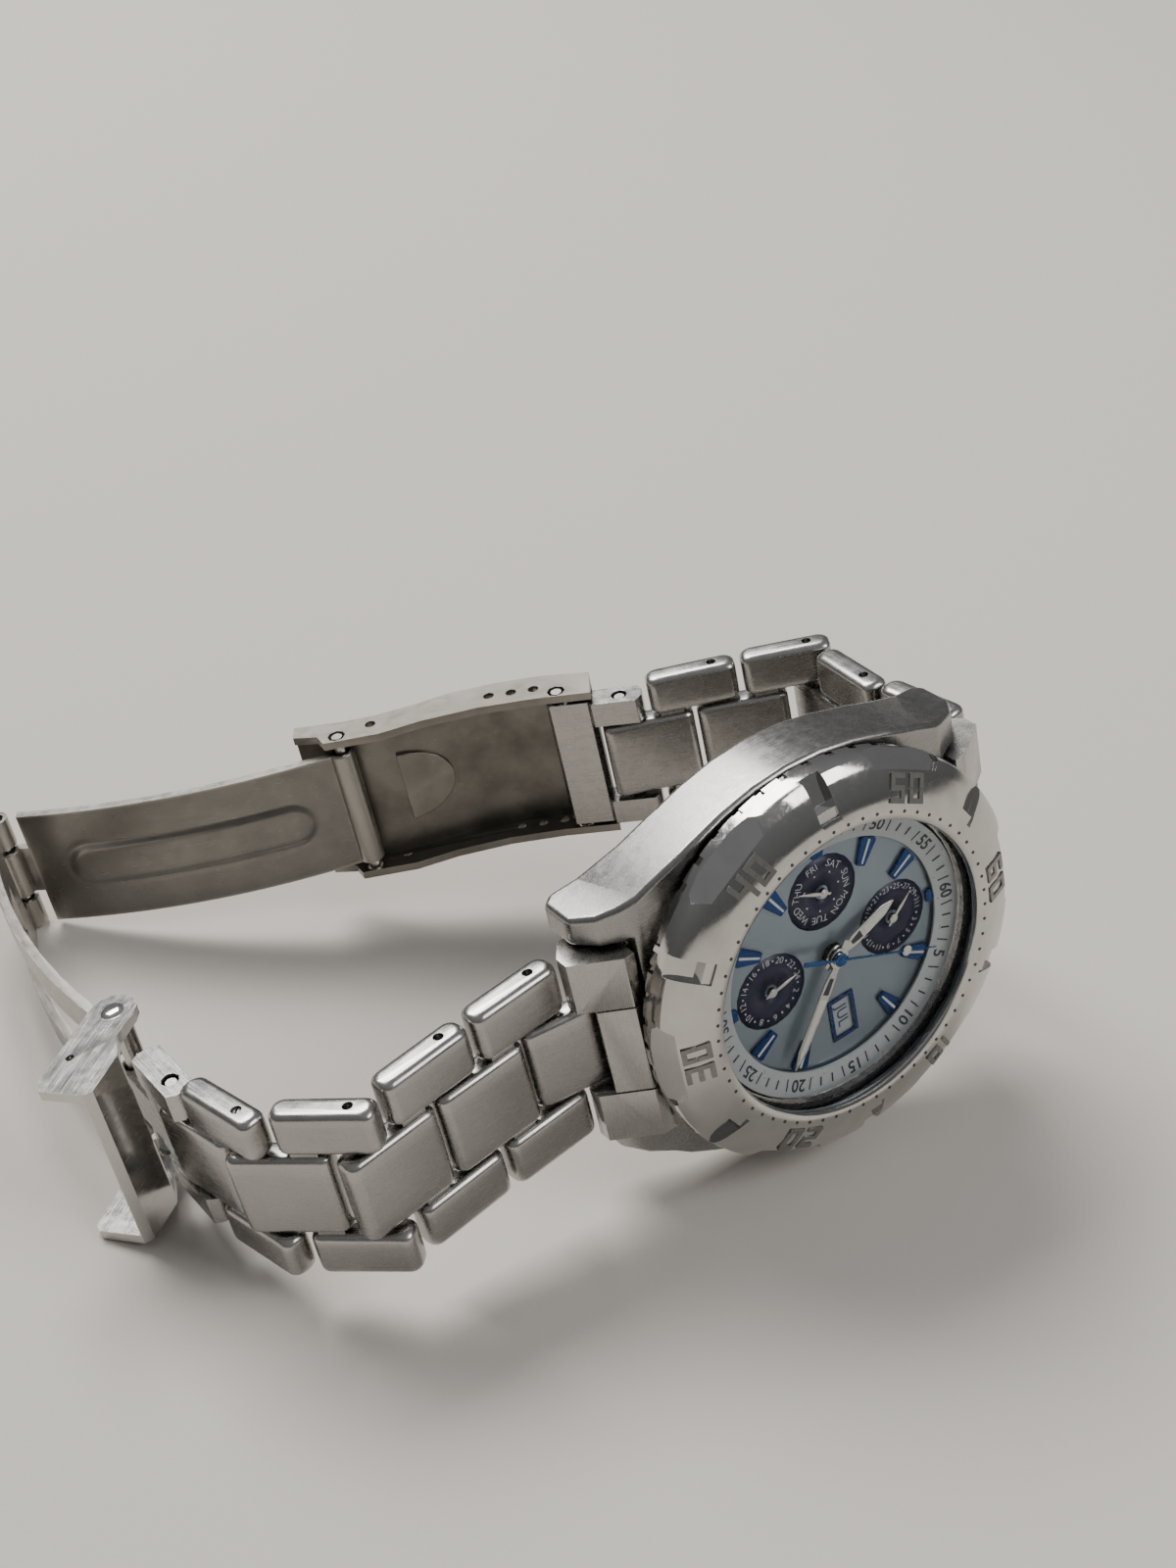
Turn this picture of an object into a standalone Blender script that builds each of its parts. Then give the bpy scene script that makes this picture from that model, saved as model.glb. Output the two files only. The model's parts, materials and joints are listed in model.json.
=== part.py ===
"""Steel wristwatch with a rotating bezel, three small dials and a three-row bracelet whose folding
clasp lies open.  The watch rests on its crown side.

The head frame has its origin at the centre of the dial: +X to 3 o'clock, +Y to 12 o'clock and +Z out
of the glass.  Every number below is in millimetres (or degrees), and MM turns it into metres.
Side -1 of the bracelet leaves the case at 6 o'clock, side +1 at 12 o'clock.
"""
import math
import bmesh
import bpy
from mathutils import Matrix, Vector

MM = 0.001

# How the watch lies: the head frame is turned so that this head direction points up.
REST_UP = (-0.9779, 0.1863, 0.0947)
REST_RIGHT = (0.190, 0.808, 0.557)
REST_LIFT = 24.034
REST_SHIFT = (34.515, -9.727)

# Watch head
BEZEL_OUTER_R = 20.5
BEZEL_OPENING_R = 14.7
BEZEL_BORE_R = 18.0
BEZEL_TOP = 2.85
BEZEL_BOTTOM = -2.2
BEZEL_POCKETS = 6
CASE_HALF_WIDTH = 20.2
LUG_HALF_WIDTH = 13.6
LUG_GAP = 10.8
LUG_TIP_Y = 22.3
CASE_TOP = -2.6
CASE_BOTTOM = -9.4
NECK_R = 17.2
CRYSTAL_R = 15.2
CRYSTAL_BASE = 1.25
CRYSTAL_TOP = 2.05
DIAL_R = 14.4
DIAL_TOP = -0.6
MOVEMENT_R = 15.0
BACK_R = 16.6
CROWN_R = 3.0
CROWN_Z = -5.8
CROWN_START = 20.7
CROWN_END = 23.5
SUBDIAL_OFFSET = 7.2
SUBDIAL_R = 3.9

# Bracelet
SPRING_BAR_Y = 20.8
SPRING_BAR_Z = -7.6
HALF_LINK = 5.8
PITCH = 10.1
LINK_LENGTH = 9.5
PIN_INSET = 2.4
LINK_THICK = 2.9
CENTRE_WIDTH = 9.0
SIDE_GAP = 0.35
STRAP_WIDTH = 20.0
STRAP_TAPER = 0.5
PIN_R = 0.55
PIN_HOLE_R = 0.9
HEADINGS = {-1: (-8.0, 6.0, 8.0, -45.0, -78.0, -89.0),
            1: (-49.0, -96.0, -86.0, -149.0, -151.0, -140.0)}
CLASP_LINK_REACH = {-1: 11.2, 1: 6.5}

# Clasp
COVER_HEADING = -147.8
COVER_LENGTH = 32.0
COVER_WIDTH = 18.0
COVER_WALL = 0.9
COVER_DEPTH = 4.2
COVER_BAR_U = 3.6
COVER_BAR_V = 2.3
COVER_HINGE_U = 27.2
COVER_HINGE_V = 3.1
ADJUST_PITCH = 2.4
ADJUST_HOLES = 4
BLADE_WIDTH = 14.0
BLADE_THICK = 1.0
BLADE_A = 38.0
BLADE_B = 44.0
SAGITTA_A = 2.2
SAGITTA_B = 3.2
KNUCKLE_R = 1.35
HOOK_MOUTH = 59.0
FOLD_LIFT = 0.65
EAR_THICK = 1.0
EAR_OUTER = 9.2

# Rest angles of the hands, clockwise from 12 o'clock
HOUR_ANGLE = 340.5
MINUTE_ANGLE = 126.4
SECOND_ANGLE = 25.0
DAY_ANGLE = 205.7
DATE_ANGLE = 319.0
HOUR24_ANGLE = 350.0

STEEL = (0.62, 0.61, 0.58)
DARK_STEEL = (0.40, 0.38, 0.35)
BLUE = (0.02, 0.05, 0.25)


def new_collection(name):
    collection = bpy.data.collections.new(name)
    bpy.context.scene.collection.children.link(collection)
    return collection


for old in list(bpy.data.objects):
    bpy.data.objects.remove(old, do_unlink=True)
PARTS = new_collection("wristwatch")
CUTTERS = new_collection("wristwatch_cutters")


def material(name, colour, metallic=1.0, roughness=0.3):
    mat = bpy.data.materials.new(name)
    mat.use_nodes = True
    shader = mat.node_tree.nodes["Principled BSDF"]
    shader.inputs["Base Color"].default_value = (*colour, 1.0)
    shader.inputs["Metallic"].default_value = metallic
    shader.inputs["Roughness"].default_value = roughness
    return mat


def empty(name, parent=None, matrix=None):
    holder = bpy.data.objects.new(name, None)
    PARTS.objects.link(holder)
    holder.parent = parent
    if matrix is not None:
        holder.matrix_basis = matrix
    return holder


def keep(obj, parent, finish):
    """Make an object a part of the watch, with its own material."""
    obj.parent = parent
    PARTS.objects.link(obj)
    colour, metallic, roughness = finish
    obj.data.materials.append(material(obj.name + "_finish", colour, metallic, roughness))
    obj.data.shade_smooth()
    obj.data.set_sharp_from_angle(angle=math.radians(30))
    return obj


def helper(obj, parent):
    """Make an object a cutter or an added volume, which is not a part itself."""
    obj.parent = parent
    CUTTERS.objects.link(obj)
    obj.hide_render = True
    obj.display_type = "WIRE"
    return obj


def combine(target, operand, operation):
    modifier = target.modifiers.new(operation.lower(), "BOOLEAN")
    modifier.operation = operation
    modifier.solver = "EXACT"
    modifier.object = operand
    return target


def plate(name, outline, low, high):
    """A flat outline in the local XY plane, thick from low to high along Z."""
    curve = bpy.data.curves.new(name + "_outline", "CURVE")
    curve.dimensions = "2D"
    curve.fill_mode = "BOTH"
    curve.extrude = (high - low) / 2 * MM
    spline = curve.splines.new("POLY")
    spline.points.add(len(outline) - 1)
    for point, (x, y) in zip(spline.points, outline):
        point.co = (x * MM, y * MM, 0.0, 1.0)
    spline.use_cyclic_u = True
    source = bpy.data.objects.new(name + "_source", curve)
    bpy.context.scene.collection.objects.link(source)
    graph = bpy.context.evaluated_depsgraph_get()
    mesh = bpy.data.meshes.new_from_object(source.evaluated_get(graph))
    bpy.data.objects.remove(source, do_unlink=True)
    weld(mesh)
    mesh.transform(Matrix.Translation((0.0, 0.0, (low + high) / 2 * MM)))
    return bpy.data.objects.new(name, mesh)


def weld(mesh):
    shell = bmesh.new()
    shell.from_mesh(mesh)
    bmesh.ops.remove_doubles(shell, verts=shell.verts, dist=0.00001)
    bmesh.ops.recalc_face_normals(shell, faces=shell.faces)
    shell.to_mesh(mesh)
    shell.free()


def turned(name, profile, steps=48, ring=False):
    """A profile of (radius, height) turned about Z; its outer side runs from top to bottom."""
    mesh = bpy.data.meshes.new(name)
    edges = [(i, i + 1) for i in range(len(profile) - 1)]
    if ring:
        edges.append((len(profile) - 1, 0))
    mesh.from_pydata([(r * MM, 0.0, z * MM) for r, z in profile], edges, [])
    obj = bpy.data.objects.new(name, mesh)
    screw = obj.modifiers.new("turn", "SCREW")
    screw.axis = "Z"
    screw.angle = math.tau
    screw.steps = steps
    screw.render_steps = steps
    screw.use_merge_vertices = True
    screw.merge_threshold = 0.00001
    return obj


def disc(name, radius, low, high, steps=32):
    return turned(name, [(0, high), (radius, high), (radius, low), (0, low)], steps)


def washer(name, outer, inner, low, high, steps=24):
    profile = [(inner, high), (outer, high), (outer, low), (inner, low)]
    return turned(name, profile, steps, ring=True)


def moved(obj, location, rotation=(0.0, 0.0, 0.0)):
    obj.location = Vector(location) * MM
    obj.rotation_euler = [math.radians(angle) for angle in rotation]
    return obj


def arc(cx, cy, radius, start, end, steps):
    """Points of an arc, from start to end degrees."""
    angles = [math.radians(start + (end - start) * i / steps) for i in range(steps + 1)]
    return [(cx + radius * math.cos(a), cy + radius * math.sin(a)) for a in angles]


def rest_matrix():
    """Turn the head frame so that REST_UP points up and REST_RIGHT lies to the right."""
    up = Vector(REST_UP).normalized()
    side = Vector(REST_RIGHT)
    right = (side - up * side.dot(up)).normalized()
    away = up.cross(right)
    turn = Matrix((right, away, up)).to_4x4()
    shift = Vector((REST_SHIFT[0], REST_SHIFT[1], REST_LIFT)) * MM
    return Matrix.Translation(shift) @ turn


ROOT = empty("watch_origin", None, rest_matrix())
BRUSHED = (STEEL, 1.0, 0.35)
POLISHED = (STEEL, 1.0, 0.12)
PRESSED = (DARK_STEEL, 1.0, 0.42)
# Numeral "60" is at 12 o'clock, along +Y
ROOT_TURN = Matrix.Rotation(math.radians(90), 4, "Z")
# Sets an outline of (radius, height) upright, with its thickness along the rim
UPRIGHT = Matrix.Rotation(math.radians(90), 4, "X")


# ---------------------------------------------------------------- watch head
def case_outline():
    """The case from above: full at the middle, drawn in to the four lugs."""
    side = []
    for i in range(13):
        y = -LUG_TIP_Y + 2 * LUG_TIP_Y * i / 12
        swell = math.cos(math.pi / 2 * min(abs(y) / 20.5, 1.0))
        side.append((LUG_HALF_WIDTH + (CASE_HALF_WIDTH - LUG_HALF_WIDTH) * swell, y))
    return side + [(-x, y) for x, y in reversed(side)]


def case_side_profile():
    """The case from the side, as (y, z): lugs curve back below the middle."""
    half = [(12.0, CASE_TOP), (17.2, -3.3), (20.6, -5.2), (LUG_TIP_Y, -7.4), (LUG_TIP_Y, -11.0),
            (21.2, -11.7), (18.5, -11.0), (14.5, -9.8), (10.0, CASE_BOTTOM)]
    return half + [(-y, z) for y, z in reversed(half)]


def build_case():
    body = plate("case_body", case_outline(), -12.5, -1.8)
    side = plate("case_side", case_side_profile(), -25.0, 25.0)
    side.matrix_basis = Matrix(((0, 0, 1, 0), (1, 0, 0, 0), (0, 1, 0, 0), (0, 0, 0, 1)))
    combine(body, helper(side, ROOT), "INTERSECT")
    neck = disc("case_neck", NECK_R, -5.0, 1.85, 48)
    combine(body, helper(neck, ROOT), "UNION")
    bore = turned("case_bore", [(0, 4.0), (CRYSTAL_R + 0.95, 4.0), (CRYSTAL_R + 0.95, 0.9),
                                (DIAL_R + 0.3, 0.9), (DIAL_R + 0.3, -1.3), (MOVEMENT_R, -1.3),
                                (MOVEMENT_R, -8.2), (BACK_R + 0.3, -8.2), (BACK_R + 0.3, -13.0),
                                (0, -13.0)], 48)
    combine(body, helper(bore, ROOT), "DIFFERENCE")
    for side_sign in (-1, 1):
        bottom, top = sorted((side_sign * 18.3, side_sign * 26.0))
        square = [(-LUG_GAP, bottom), (LUG_GAP, bottom), (LUG_GAP, top), (-LUG_GAP, top)]
        slot = plate("lug_slot", square, -14.0, 0.0)
        combine(body, helper(slot, ROOT), "DIFFERENCE")
        bar_hole = moved(disc("lug_hole", 0.75, -12.3, 12.3, 12),
                         (0, side_sign * SPRING_BAR_Y, SPRING_BAR_Z), (0, 90, 0))
        combine(body, helper(bar_hole, ROOT), "DIFFERENCE")
    crown_hole = moved(disc("crown_hole", 1.1, 0, 12.0, 16), (13.0, 0, CROWN_Z), (0, 90, 0))
    combine(body, helper(crown_hole, ROOT), "DIFFERENCE")
    crown_seat = moved(disc("crown_seat", CROWN_R + 0.4, 0, 5.0, 24),
                       (CROWN_START - 0.8, 0, CROWN_Z), (0, 90, 0))
    combine(body, helper(crown_seat, ROOT), "DIFFERENCE")
    keep(body, ROOT, BRUSHED)


def build_back():
    back = turned("case_back", [(0, -9.0), (12.0, -9.0), (12.0, -8.5), (14.6, -8.5), (14.6, -9.2),
                                (BACK_R, -9.2), (BACK_R, -10.0), (15.4, -10.6), (0, -10.6)], 36)
    for i in range(6):
        angle = math.radians(60 * i)
        notch = moved(disc("back_notch", 1.1, -11.5, -10.1, 6),
                      (15.2 * math.cos(angle), 15.2 * math.sin(angle), 0))
        combine(back, helper(notch, ROOT), "DIFFERENCE")
    keep(back, ROOT, BRUSHED)
    keep(washer("back_gasket", 16.4, 14.95, -8.9, -8.5), ROOT, ((0.03, 0.03, 0.03), 0.0, 0.6))


def build_bezel():
    profile = [(BEZEL_OPENING_R, 2.4), (15.3, BEZEL_TOP), (16.0, BEZEL_TOP), (19.5, 1.5),
               (BEZEL_OUTER_R, 0.7), (BEZEL_OUTER_R, -1.6), (20.1, BEZEL_BOTTOM),
               (BEZEL_BORE_R, BEZEL_BOTTOM), (BEZEL_BORE_R, 0.3), (17.5, 0.9), (17.5, 1.95),
               (15.6, 1.95), (15.5, 2.15), (BEZEL_OPENING_R, 2.15)]
    bezel = turned("bezel", profile, 48, ring=True)
    for i in range(BEZEL_POCKETS):
        turn = ROOT_TURN @ Matrix.Rotation(math.tau * (i + 0.5) / BEZEL_POCKETS, 4, "Z")
        pocket = plate("bezel_pocket", [(17.8, 1.4), (23.0, -0.9), (23.0, 5.0), (17.8, 5.0)],
                       -1.1, 1.1)
        pocket.matrix_basis = turn @ UPRIGHT
        combine(bezel, helper(pocket, ROOT), "DIFFERENCE")
        turn = ROOT_TURN @ Matrix.Rotation(math.tau * i / BEZEL_POCKETS, 4, "Z")
        facet = plate("bezel_facet", [(-1.15, -3.6), (0.0, -4.6), (1.6, -3.6), (1.6, 3.6),
                                      (0.0, 4.6), (-1.15, 3.6)], -0.9, 4.0)
        facet.matrix_basis = (turn @ Matrix.Translation(Vector((20.15, 0, 0.9)) * MM)
                              @ Matrix.Rotation(math.radians(45), 4, "Y"))
        combine(bezel, helper(facet, ROOT), "DIFFERENCE")
    keep(bezel, ROOT, POLISHED)
    keep(washer("bezel_spring", 17.72, 17.48, -1.6, -1.0), ROOT, PRESSED)


def build_crystal():
    crystal = turned("crystal", [(0, CRYSTAL_TOP), (CRYSTAL_R - 0.2, CRYSTAL_TOP),
                                 (CRYSTAL_R, CRYSTAL_TOP - 0.2), (CRYSTAL_R, CRYSTAL_BASE),
                                 (0, CRYSTAL_BASE)], 48)
    keep(crystal, ROOT, ((0.9, 0.93, 0.95), 0.0, 0.03))
    keep(washer("crystal_gasket", CRYSTAL_R + 0.65, CRYSTAL_R + 0.3, 1.25, 1.8), ROOT,
         ((0.8, 0.8, 0.8), 0.0, 0.5))


def small_dial_centres():
    return {"date": (0, SUBDIAL_OFFSET), "day": (-SUBDIAL_OFFSET, 0), "hour24": (0, -SUBDIAL_OFFSET)}


def build_dial():
    dial = disc("dial", DIAL_R, DIAL_TOP - 0.4, DIAL_TOP, 40)
    holes = [(0, 0, 1.2)] + [(x, y, 0.45) for x, y in small_dial_centres().values()]
    for x, y, radius in holes:
        hole = moved(disc("dial_hole", radius, -2.0, 1.0, 10), (x, y, 0))
        combine(dial, helper(hole, ROOT), "DIFFERENCE")
    for x, y in small_dial_centres().values():
        recess = moved(washer("subdial_recess", SUBDIAL_R, 0.7, DIAL_TOP - 0.12, 1.0, 20), (x, y, 0))
        combine(dial, helper(recess, ROOT), "DIFFERENCE")
    window = plate("month_window", [(5.4, -1.1), (9.6, -1.1), (9.6, 1.1), (5.4, 1.1)], -0.75, 1.0)
    combine(dial, helper(window, ROOT), "DIFFERENCE")
    keep(dial, ROOT, ((0.45, 0.52, 0.60), 0.6, 0.35))
    ring = turned("chapter_ring", [(12.0, -0.1), (DIAL_R, 0.35), (DIAL_R, -0.3), (12.0, -0.3)], 40,
                  ring=True)
    keep(ring, ROOT, ((0.62, 0.65, 0.66), 0.4, 0.35))


def hand_outline(length, tail, root_width, wide, tip):
    """A baton hand along +X: from the tail, widening to `wide` and closing to `tip`."""
    upper = [(-tail, root_width / 2), (0.3 * length, wide / 2), (0.8 * length, wide / 2),
             (length, tip / 2)]
    return upper + [(x, -y) for x, y in reversed(upper)]


def build_hand(name, centre, angle, outline, low, hub_r, tube, finish):
    """A flat hand with a round hub and a tube or post below; tube is (outer, inner, bottom)."""
    x, y = centre
    pivot = empty(name + "_pivot", ROOT, Matrix.Translation(Vector((x, y, 0)) * MM)
                  @ Matrix.Rotation(math.radians(90 - angle), 4, "Z"))
    thick = 0.15
    hand = plate(name, outline, low, low + thick)
    outer, inner, bottom = tube
    stem = turned(name + "_stem", [(0, low + thick + 0.05), (hub_r, low + thick + 0.05),
                                   (hub_r, low - 0.04), (outer, low - 0.04), (outer, bottom),
                                   (0, bottom)], 16)
    combine(hand, helper(stem, pivot), "UNION")
    if inner:
        bore = disc(name + "_bore", inner, bottom - 0.5, low + 1.0, 12)
        combine(hand, helper(bore, pivot), "DIFFERENCE")
    keep(hand, pivot, finish)


def build_hands():
    silver = ((0.75, 0.75, 0.74), 1.0, 0.2)
    build_hand("hour_hand", (0, 0), HOUR_ANGLE, hand_outline(7.6, 1.6, 0.6, 1.5, 0.3), 0.1, 1.35,
               (1.0, 0.75, -1.5), silver)
    build_hand("minute_hand", (0, 0), MINUTE_ANGLE, hand_outline(11.6, 2.0, 0.6, 1.4, 0.3), 0.4, 1.1,
               (0.6, 0.36, -1.6), silver)
    build_hand("second_hand", (0, 0), SECOND_ANGLE, hand_outline(12.0, 4.6, 0.5, 0.3, 0.15), 0.7, 0.7,
               (0.2, 0, -1.7), (BLUE, 0.8, 0.25))
    centres = small_dial_centres()
    for name, key, angle in (("day_hand", "day", DAY_ANGLE), ("date_hand", "date", DATE_ANGLE),
                             ("hour24_hand", "hour24", HOUR24_ANGLE)):
        build_hand(name, centres[key], angle, hand_outline(3.1, 0.9, 0.34, 0.36, 0.2), -0.36, 0.5,
                   (0.27, 0, -1.5), silver)


def build_movement():
    keep(washer("movement_holder", 14.6, 12.4, -8.0, -1.6, 32), ROOT, ((0.75, 0.74, 0.7), 0.0, 0.5))
    slot = plate("holder_slot", [(11.0, -1.2), (16.0, -1.2), (16.0, 1.2), (11.0, 1.2)],
                 CROWN_Z - 1.2, CROWN_Z + 1.2)
    combine(bpy.data.objects["movement_holder"], helper(slot, ROOT), "DIFFERENCE")
    movement = disc("movement_plate", 12.0, -4.2, -2.1, 40)
    hollow = disc("gear_recess", 3.2, -5.0, -3.0, 20)
    combine(movement, helper(hollow, ROOT), "DIFFERENCE")
    arbor_hole = disc("arbor_hole", 0.9, -5.0, 0.0, 12)
    combine(movement, helper(arbor_hole, ROOT), "DIFFERENCE")
    keep(movement, ROOT, ((0.72, 0.62, 0.38), 1.0, 0.3))
    wheel_outline = []
    for i in range(20):
        for shift, radius in ((0.0, 2.8), (0.5, 2.4)):
            a = math.tau * (i + shift) / 20
            wheel_outline.append((radius * math.cos(a), radius * math.sin(a)))
    wheel = plate("centre_wheel", wheel_outline, -3.8, -3.3)
    shaft = disc("wheel_shaft", 0.5, -5.0, -2.1, 12)
    combine(wheel, helper(shaft, ROOT), "UNION")
    keep(wheel, ROOT, ((0.75, 0.6, 0.3), 1.0, 0.25))
    keep(moved(disc("battery", 4.7, -7.6, -5.0, 32), (-5.5, 3.2, 0)), ROOT, BRUSHED)
    coil = moved(disc("drive_coil", 1.3, -4.5, 4.5, 16), (3.0, -7.0, -6.0), (0, 90, 0))
    keep(coil, ROOT, ((0.7, 0.3, 0.12), 1.0, 0.3))
    rotor = turned("rotor", [(0, -4.6), (0.4, -4.6), (0.4, -5.2), (1.2, -5.2), (1.2, -6.4),
                             (0.4, -6.4), (0.4, -7.2), (0, -7.2)], 16)
    keep(moved(rotor, (5.5, 0.5, 0)), ROOT, ((0.35, 0.35, 0.36), 1.0, 0.3))


def build_crown():
    holder = empty("crown_axis", ROOT, Matrix.Translation(Vector((CROWN_START, 0, CROWN_Z)) * MM)
                   @ Matrix.Rotation(math.radians(90), 4, "Y"))
    reach = CROWN_END - CROWN_START
    outline = []
    for i in range(16):
        for shift, radius in ((-0.2, CROWN_R), (0.2, CROWN_R), (0.5, CROWN_R - 0.3)):
            a = math.tau * (i + shift) / 16
            outline.append((radius * math.cos(a), radius * math.sin(a)))
    crown = plate("crown", outline, 0.0, reach)
    dome = turned("crown_dome", [(0, reach + 0.1), (2.4, reach), (CROWN_R, reach - 0.5),
                                 (CROWN_R + 0.3, 0.0), (0, 0.0)], 16)
    combine(crown, helper(dome, holder), "INTERSECT")
    socket = disc("crown_socket", 0.9, -1.0, 1.4, 12)
    combine(crown, helper(socket, holder), "DIFFERENCE")
    keep(crown, holder, POLISHED)
    keep(disc("crown_stem", 0.55, -6.3, 1.0, 12), holder, PRESSED)


# ------------------------------------------------------------------ bracelet
def strap_frame(side, point, heading):
    """Local X runs along the strap away from the case, local Y out of it, local Z across it."""
    a = math.radians(heading)
    along = Vector((0, side * math.cos(a), math.sin(a)))
    outward = Vector((0, -side * math.sin(a), math.cos(a)))
    across = along.cross(outward)
    turn = Matrix((along, outward, across)).transposed().to_4x4()
    return Matrix.Translation(Vector((0, *point)) * MM) @ turn


def step_from(side, point, heading, distance):
    a = math.radians(heading)
    return (point[0] + side * distance * math.cos(a), point[1] + distance * math.sin(a))


def bar_outline(start, end, thick, nose=0.9):
    """A link bar seen from the side, with its four corners rounded off."""
    half = thick / 2
    return [(start, -half + nose), (start + nose * 0.6, -half), (end - nose * 0.6, -half),
            (end, -half + nose), (end, half - nose), (end - nose * 0.6, half),
            (start + nose * 0.6, half), (start, half - nose)]


def pin_cut(target, holder, at, radius, half_length):
    cutter = moved(disc("pin_hole", radius, -half_length, half_length, 8), (at, 0, 0))
    combine(target, helper(cutter, holder), "DIFFERENCE")


def strap_link(name, holder, width):
    """Two outer bars and a middle bar set half a link further on, in one forged piece."""
    start = -PIN_INSET
    end = start + LINK_LENGTH
    inner = CENTRE_WIDTH / 2
    middle_start = start + LINK_LENGTH / 2 + 0.45
    link = plate(name, bar_outline(middle_start, PITCH + PIN_INSET, LINK_THICK), -inner, inner)
    for sign in (-1, 1):
        low, high = sorted((sign * (inner + SIDE_GAP), sign * width / 2))
        outer = plate(name + "_outer", bar_outline(start, end, LINK_THICK), low, high)
        combine(link, helper(outer, holder), "UNION")
        near, far = sorted((sign * (inner - 0.3), sign * (inner + SIDE_GAP + 0.3)))
        web_outline = [(middle_start + 0.6, -1.0), (end - 0.5, -1.0), (end - 0.5, 1.0),
                       (middle_start + 0.6, 1.0)]
        web = plate(name + "_web", web_outline, near, far)
        combine(link, helper(web, holder), "UNION")
    pin_cut(link, holder, 0.0, PIN_R + 0.3, width)
    pin_cut(link, holder, PITCH, PIN_HOLE_R, width)
    keep(link, holder, BRUSHED)


def build_end_link(side, label):
    """The fitted end piece between the lugs; its slot takes the half link's tongue."""
    outline = [(18.7, -8.8), (18.7, -2.9), (19.8, -2.9), (24.0, -5.9), (24.0, -7.4), (22.6, -9.4),
               (19.3, -9.4)]
    width = LUG_GAP - 0.35
    link = plate("end_link_" + label, outline, -width, width)
    frame = Matrix(((0, 0, 1, 0), (side, 0, 0, 0), (0, 1, 0, 0), (0, 0, 0, 1)))
    if side < 0:
        frame = Matrix(((0, 0, -1, 0), (-1, 0, 0, 0), (0, 1, 0, 0), (0, 0, 0, 1)))
    holder = empty("end_link_seat_" + label, ROOT, frame)
    slot_outline = [(18.9, -11.0), (18.9, -5.6), (22.4, -5.6), (22.9, -4.0), (26.0, -4.0), (26.0, -11.0)]
    slot = plate("end_link_slot", slot_outline, -CENTRE_WIDTH / 2 - 0.35, CENTRE_WIDTH / 2 + 0.35)
    combine(link, helper(slot, holder), "DIFFERENCE")
    hole = moved(disc("end_link_hole", 1.05, -12.0, 12.0, 12), (SPRING_BAR_Y, SPRING_BAR_Z, 0))
    combine(link, helper(hole, holder), "DIFFERENCE")
    keep(link, holder, BRUSHED)


def build_half_link(holder, label):
    """The half-length middle piece that turns on the spring bar and carries the first link."""
    link = plate("half_link_" + label, bar_outline(-1.5, HALF_LINK + PIN_INSET, LINK_THICK - 0.2),
                 -CENTRE_WIDTH / 2, CENTRE_WIDTH / 2)
    pin_cut(link, holder, 0.0, 1.05, 12.0)
    pin_cut(link, holder, HALF_LINK, PIN_HOLE_R, 12.0)
    keep(link, holder, BRUSHED)


def build_clasp_link(side, holder, label):
    """The last piece of each half, which pins to the clasp."""
    reach = CLASP_LINK_REACH[side]
    name = "clasp_end_link_" + label
    inner = CENTRE_WIDTH / 2
    if side < 0:
        half, body_end, tongue_half, tongue_thick = 7.8, 5.6, 2.6, 2.4
        tongue_start = 4.6
    else:
        half, body_end, tongue_half, tongue_thick = 7.7, 3.4, 7.7, 1.9
        tongue_start = 2.8
    link = plate(name, bar_outline(tongue_start, reach + 1.35, tongue_thick, 0.8), -tongue_half,
                 tongue_half)
    for sign in (-1, 1):
        low, high = sorted((sign * (inner + SIDE_GAP), sign * half))
        outer = plate(name + "_outer", bar_outline(-PIN_INSET, body_end, LINK_THICK), low, high)
        combine(link, helper(outer, holder), "UNION")
    if side < 0:
        bridge = plate(name + "_bridge", bar_outline(3.0, body_end - 0.3, LINK_THICK - 0.4, 0.4),
                       -half + 0.8, half - 0.8)
        combine(link, helper(bridge, holder), "UNION")
    pin_cut(link, holder, 0.0, PIN_R + 0.3, 12.0)
    pin_cut(link, holder, reach, 0.9, 12.0)
    keep(link, holder, BRUSHED)


def build_pin(name, holder, at, half_length, radius=PIN_R):
    pin = moved(disc(name, radius, -half_length, half_length, 10), (at, 0, 0))
    keep(pin, holder, PRESSED)


def build_strap(side, label):
    """Half link, four links and the clasp link, each on an empty at its own hinge."""
    headings = HEADINGS[side]
    point = (side * SPRING_BAR_Y, SPRING_BAR_Z)
    holder = empty("hinge_%s_0" % label, ROOT, strap_frame(side, point, headings[0]))
    build_half_link(holder, label)
    build_pin("spring_bar_" + label, holder, 0.0, 12.0, 0.7)
    point = step_from(side, point, headings[0], HALF_LINK)
    for number in range(1, 5):
        holder = empty("hinge_%s_%d" % (label, number), ROOT,
                       strap_frame(side, point, headings[number]))
        width = STRAP_WIDTH - STRAP_TAPER * (number - 1)
        strap_link("link_%s_%d" % (label, number), holder, width)
        build_pin("pin_%s_%d" % (label, number), holder, 0.0, width / 2 - 0.05)
        point = step_from(side, point, headings[number], PITCH)
    holder = empty("hinge_%s_5" % label, ROOT, strap_frame(side, point, headings[5]))
    build_clasp_link(side, holder, label)
    build_pin("pin_%s_5" % label, holder, 0.0, 7.5)
    return step_from(side, point, headings[5], CLASP_LINK_REACH[side]), holder


# --------------------------------------------------------------------- clasp
def cover_point(bar, u, v):
    """A clasp cover position (u along it, v into it) as (y, z) of the head frame."""
    a = math.radians(COVER_HEADING)
    along = (math.cos(a), math.sin(a))
    inward = (math.sin(a), -math.cos(a))
    du = u - COVER_BAR_U
    dv = v - COVER_BAR_V
    return (bar[0] + du * along[0] + dv * inward[0], bar[1] + du * along[1] + dv * inward[1])


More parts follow.
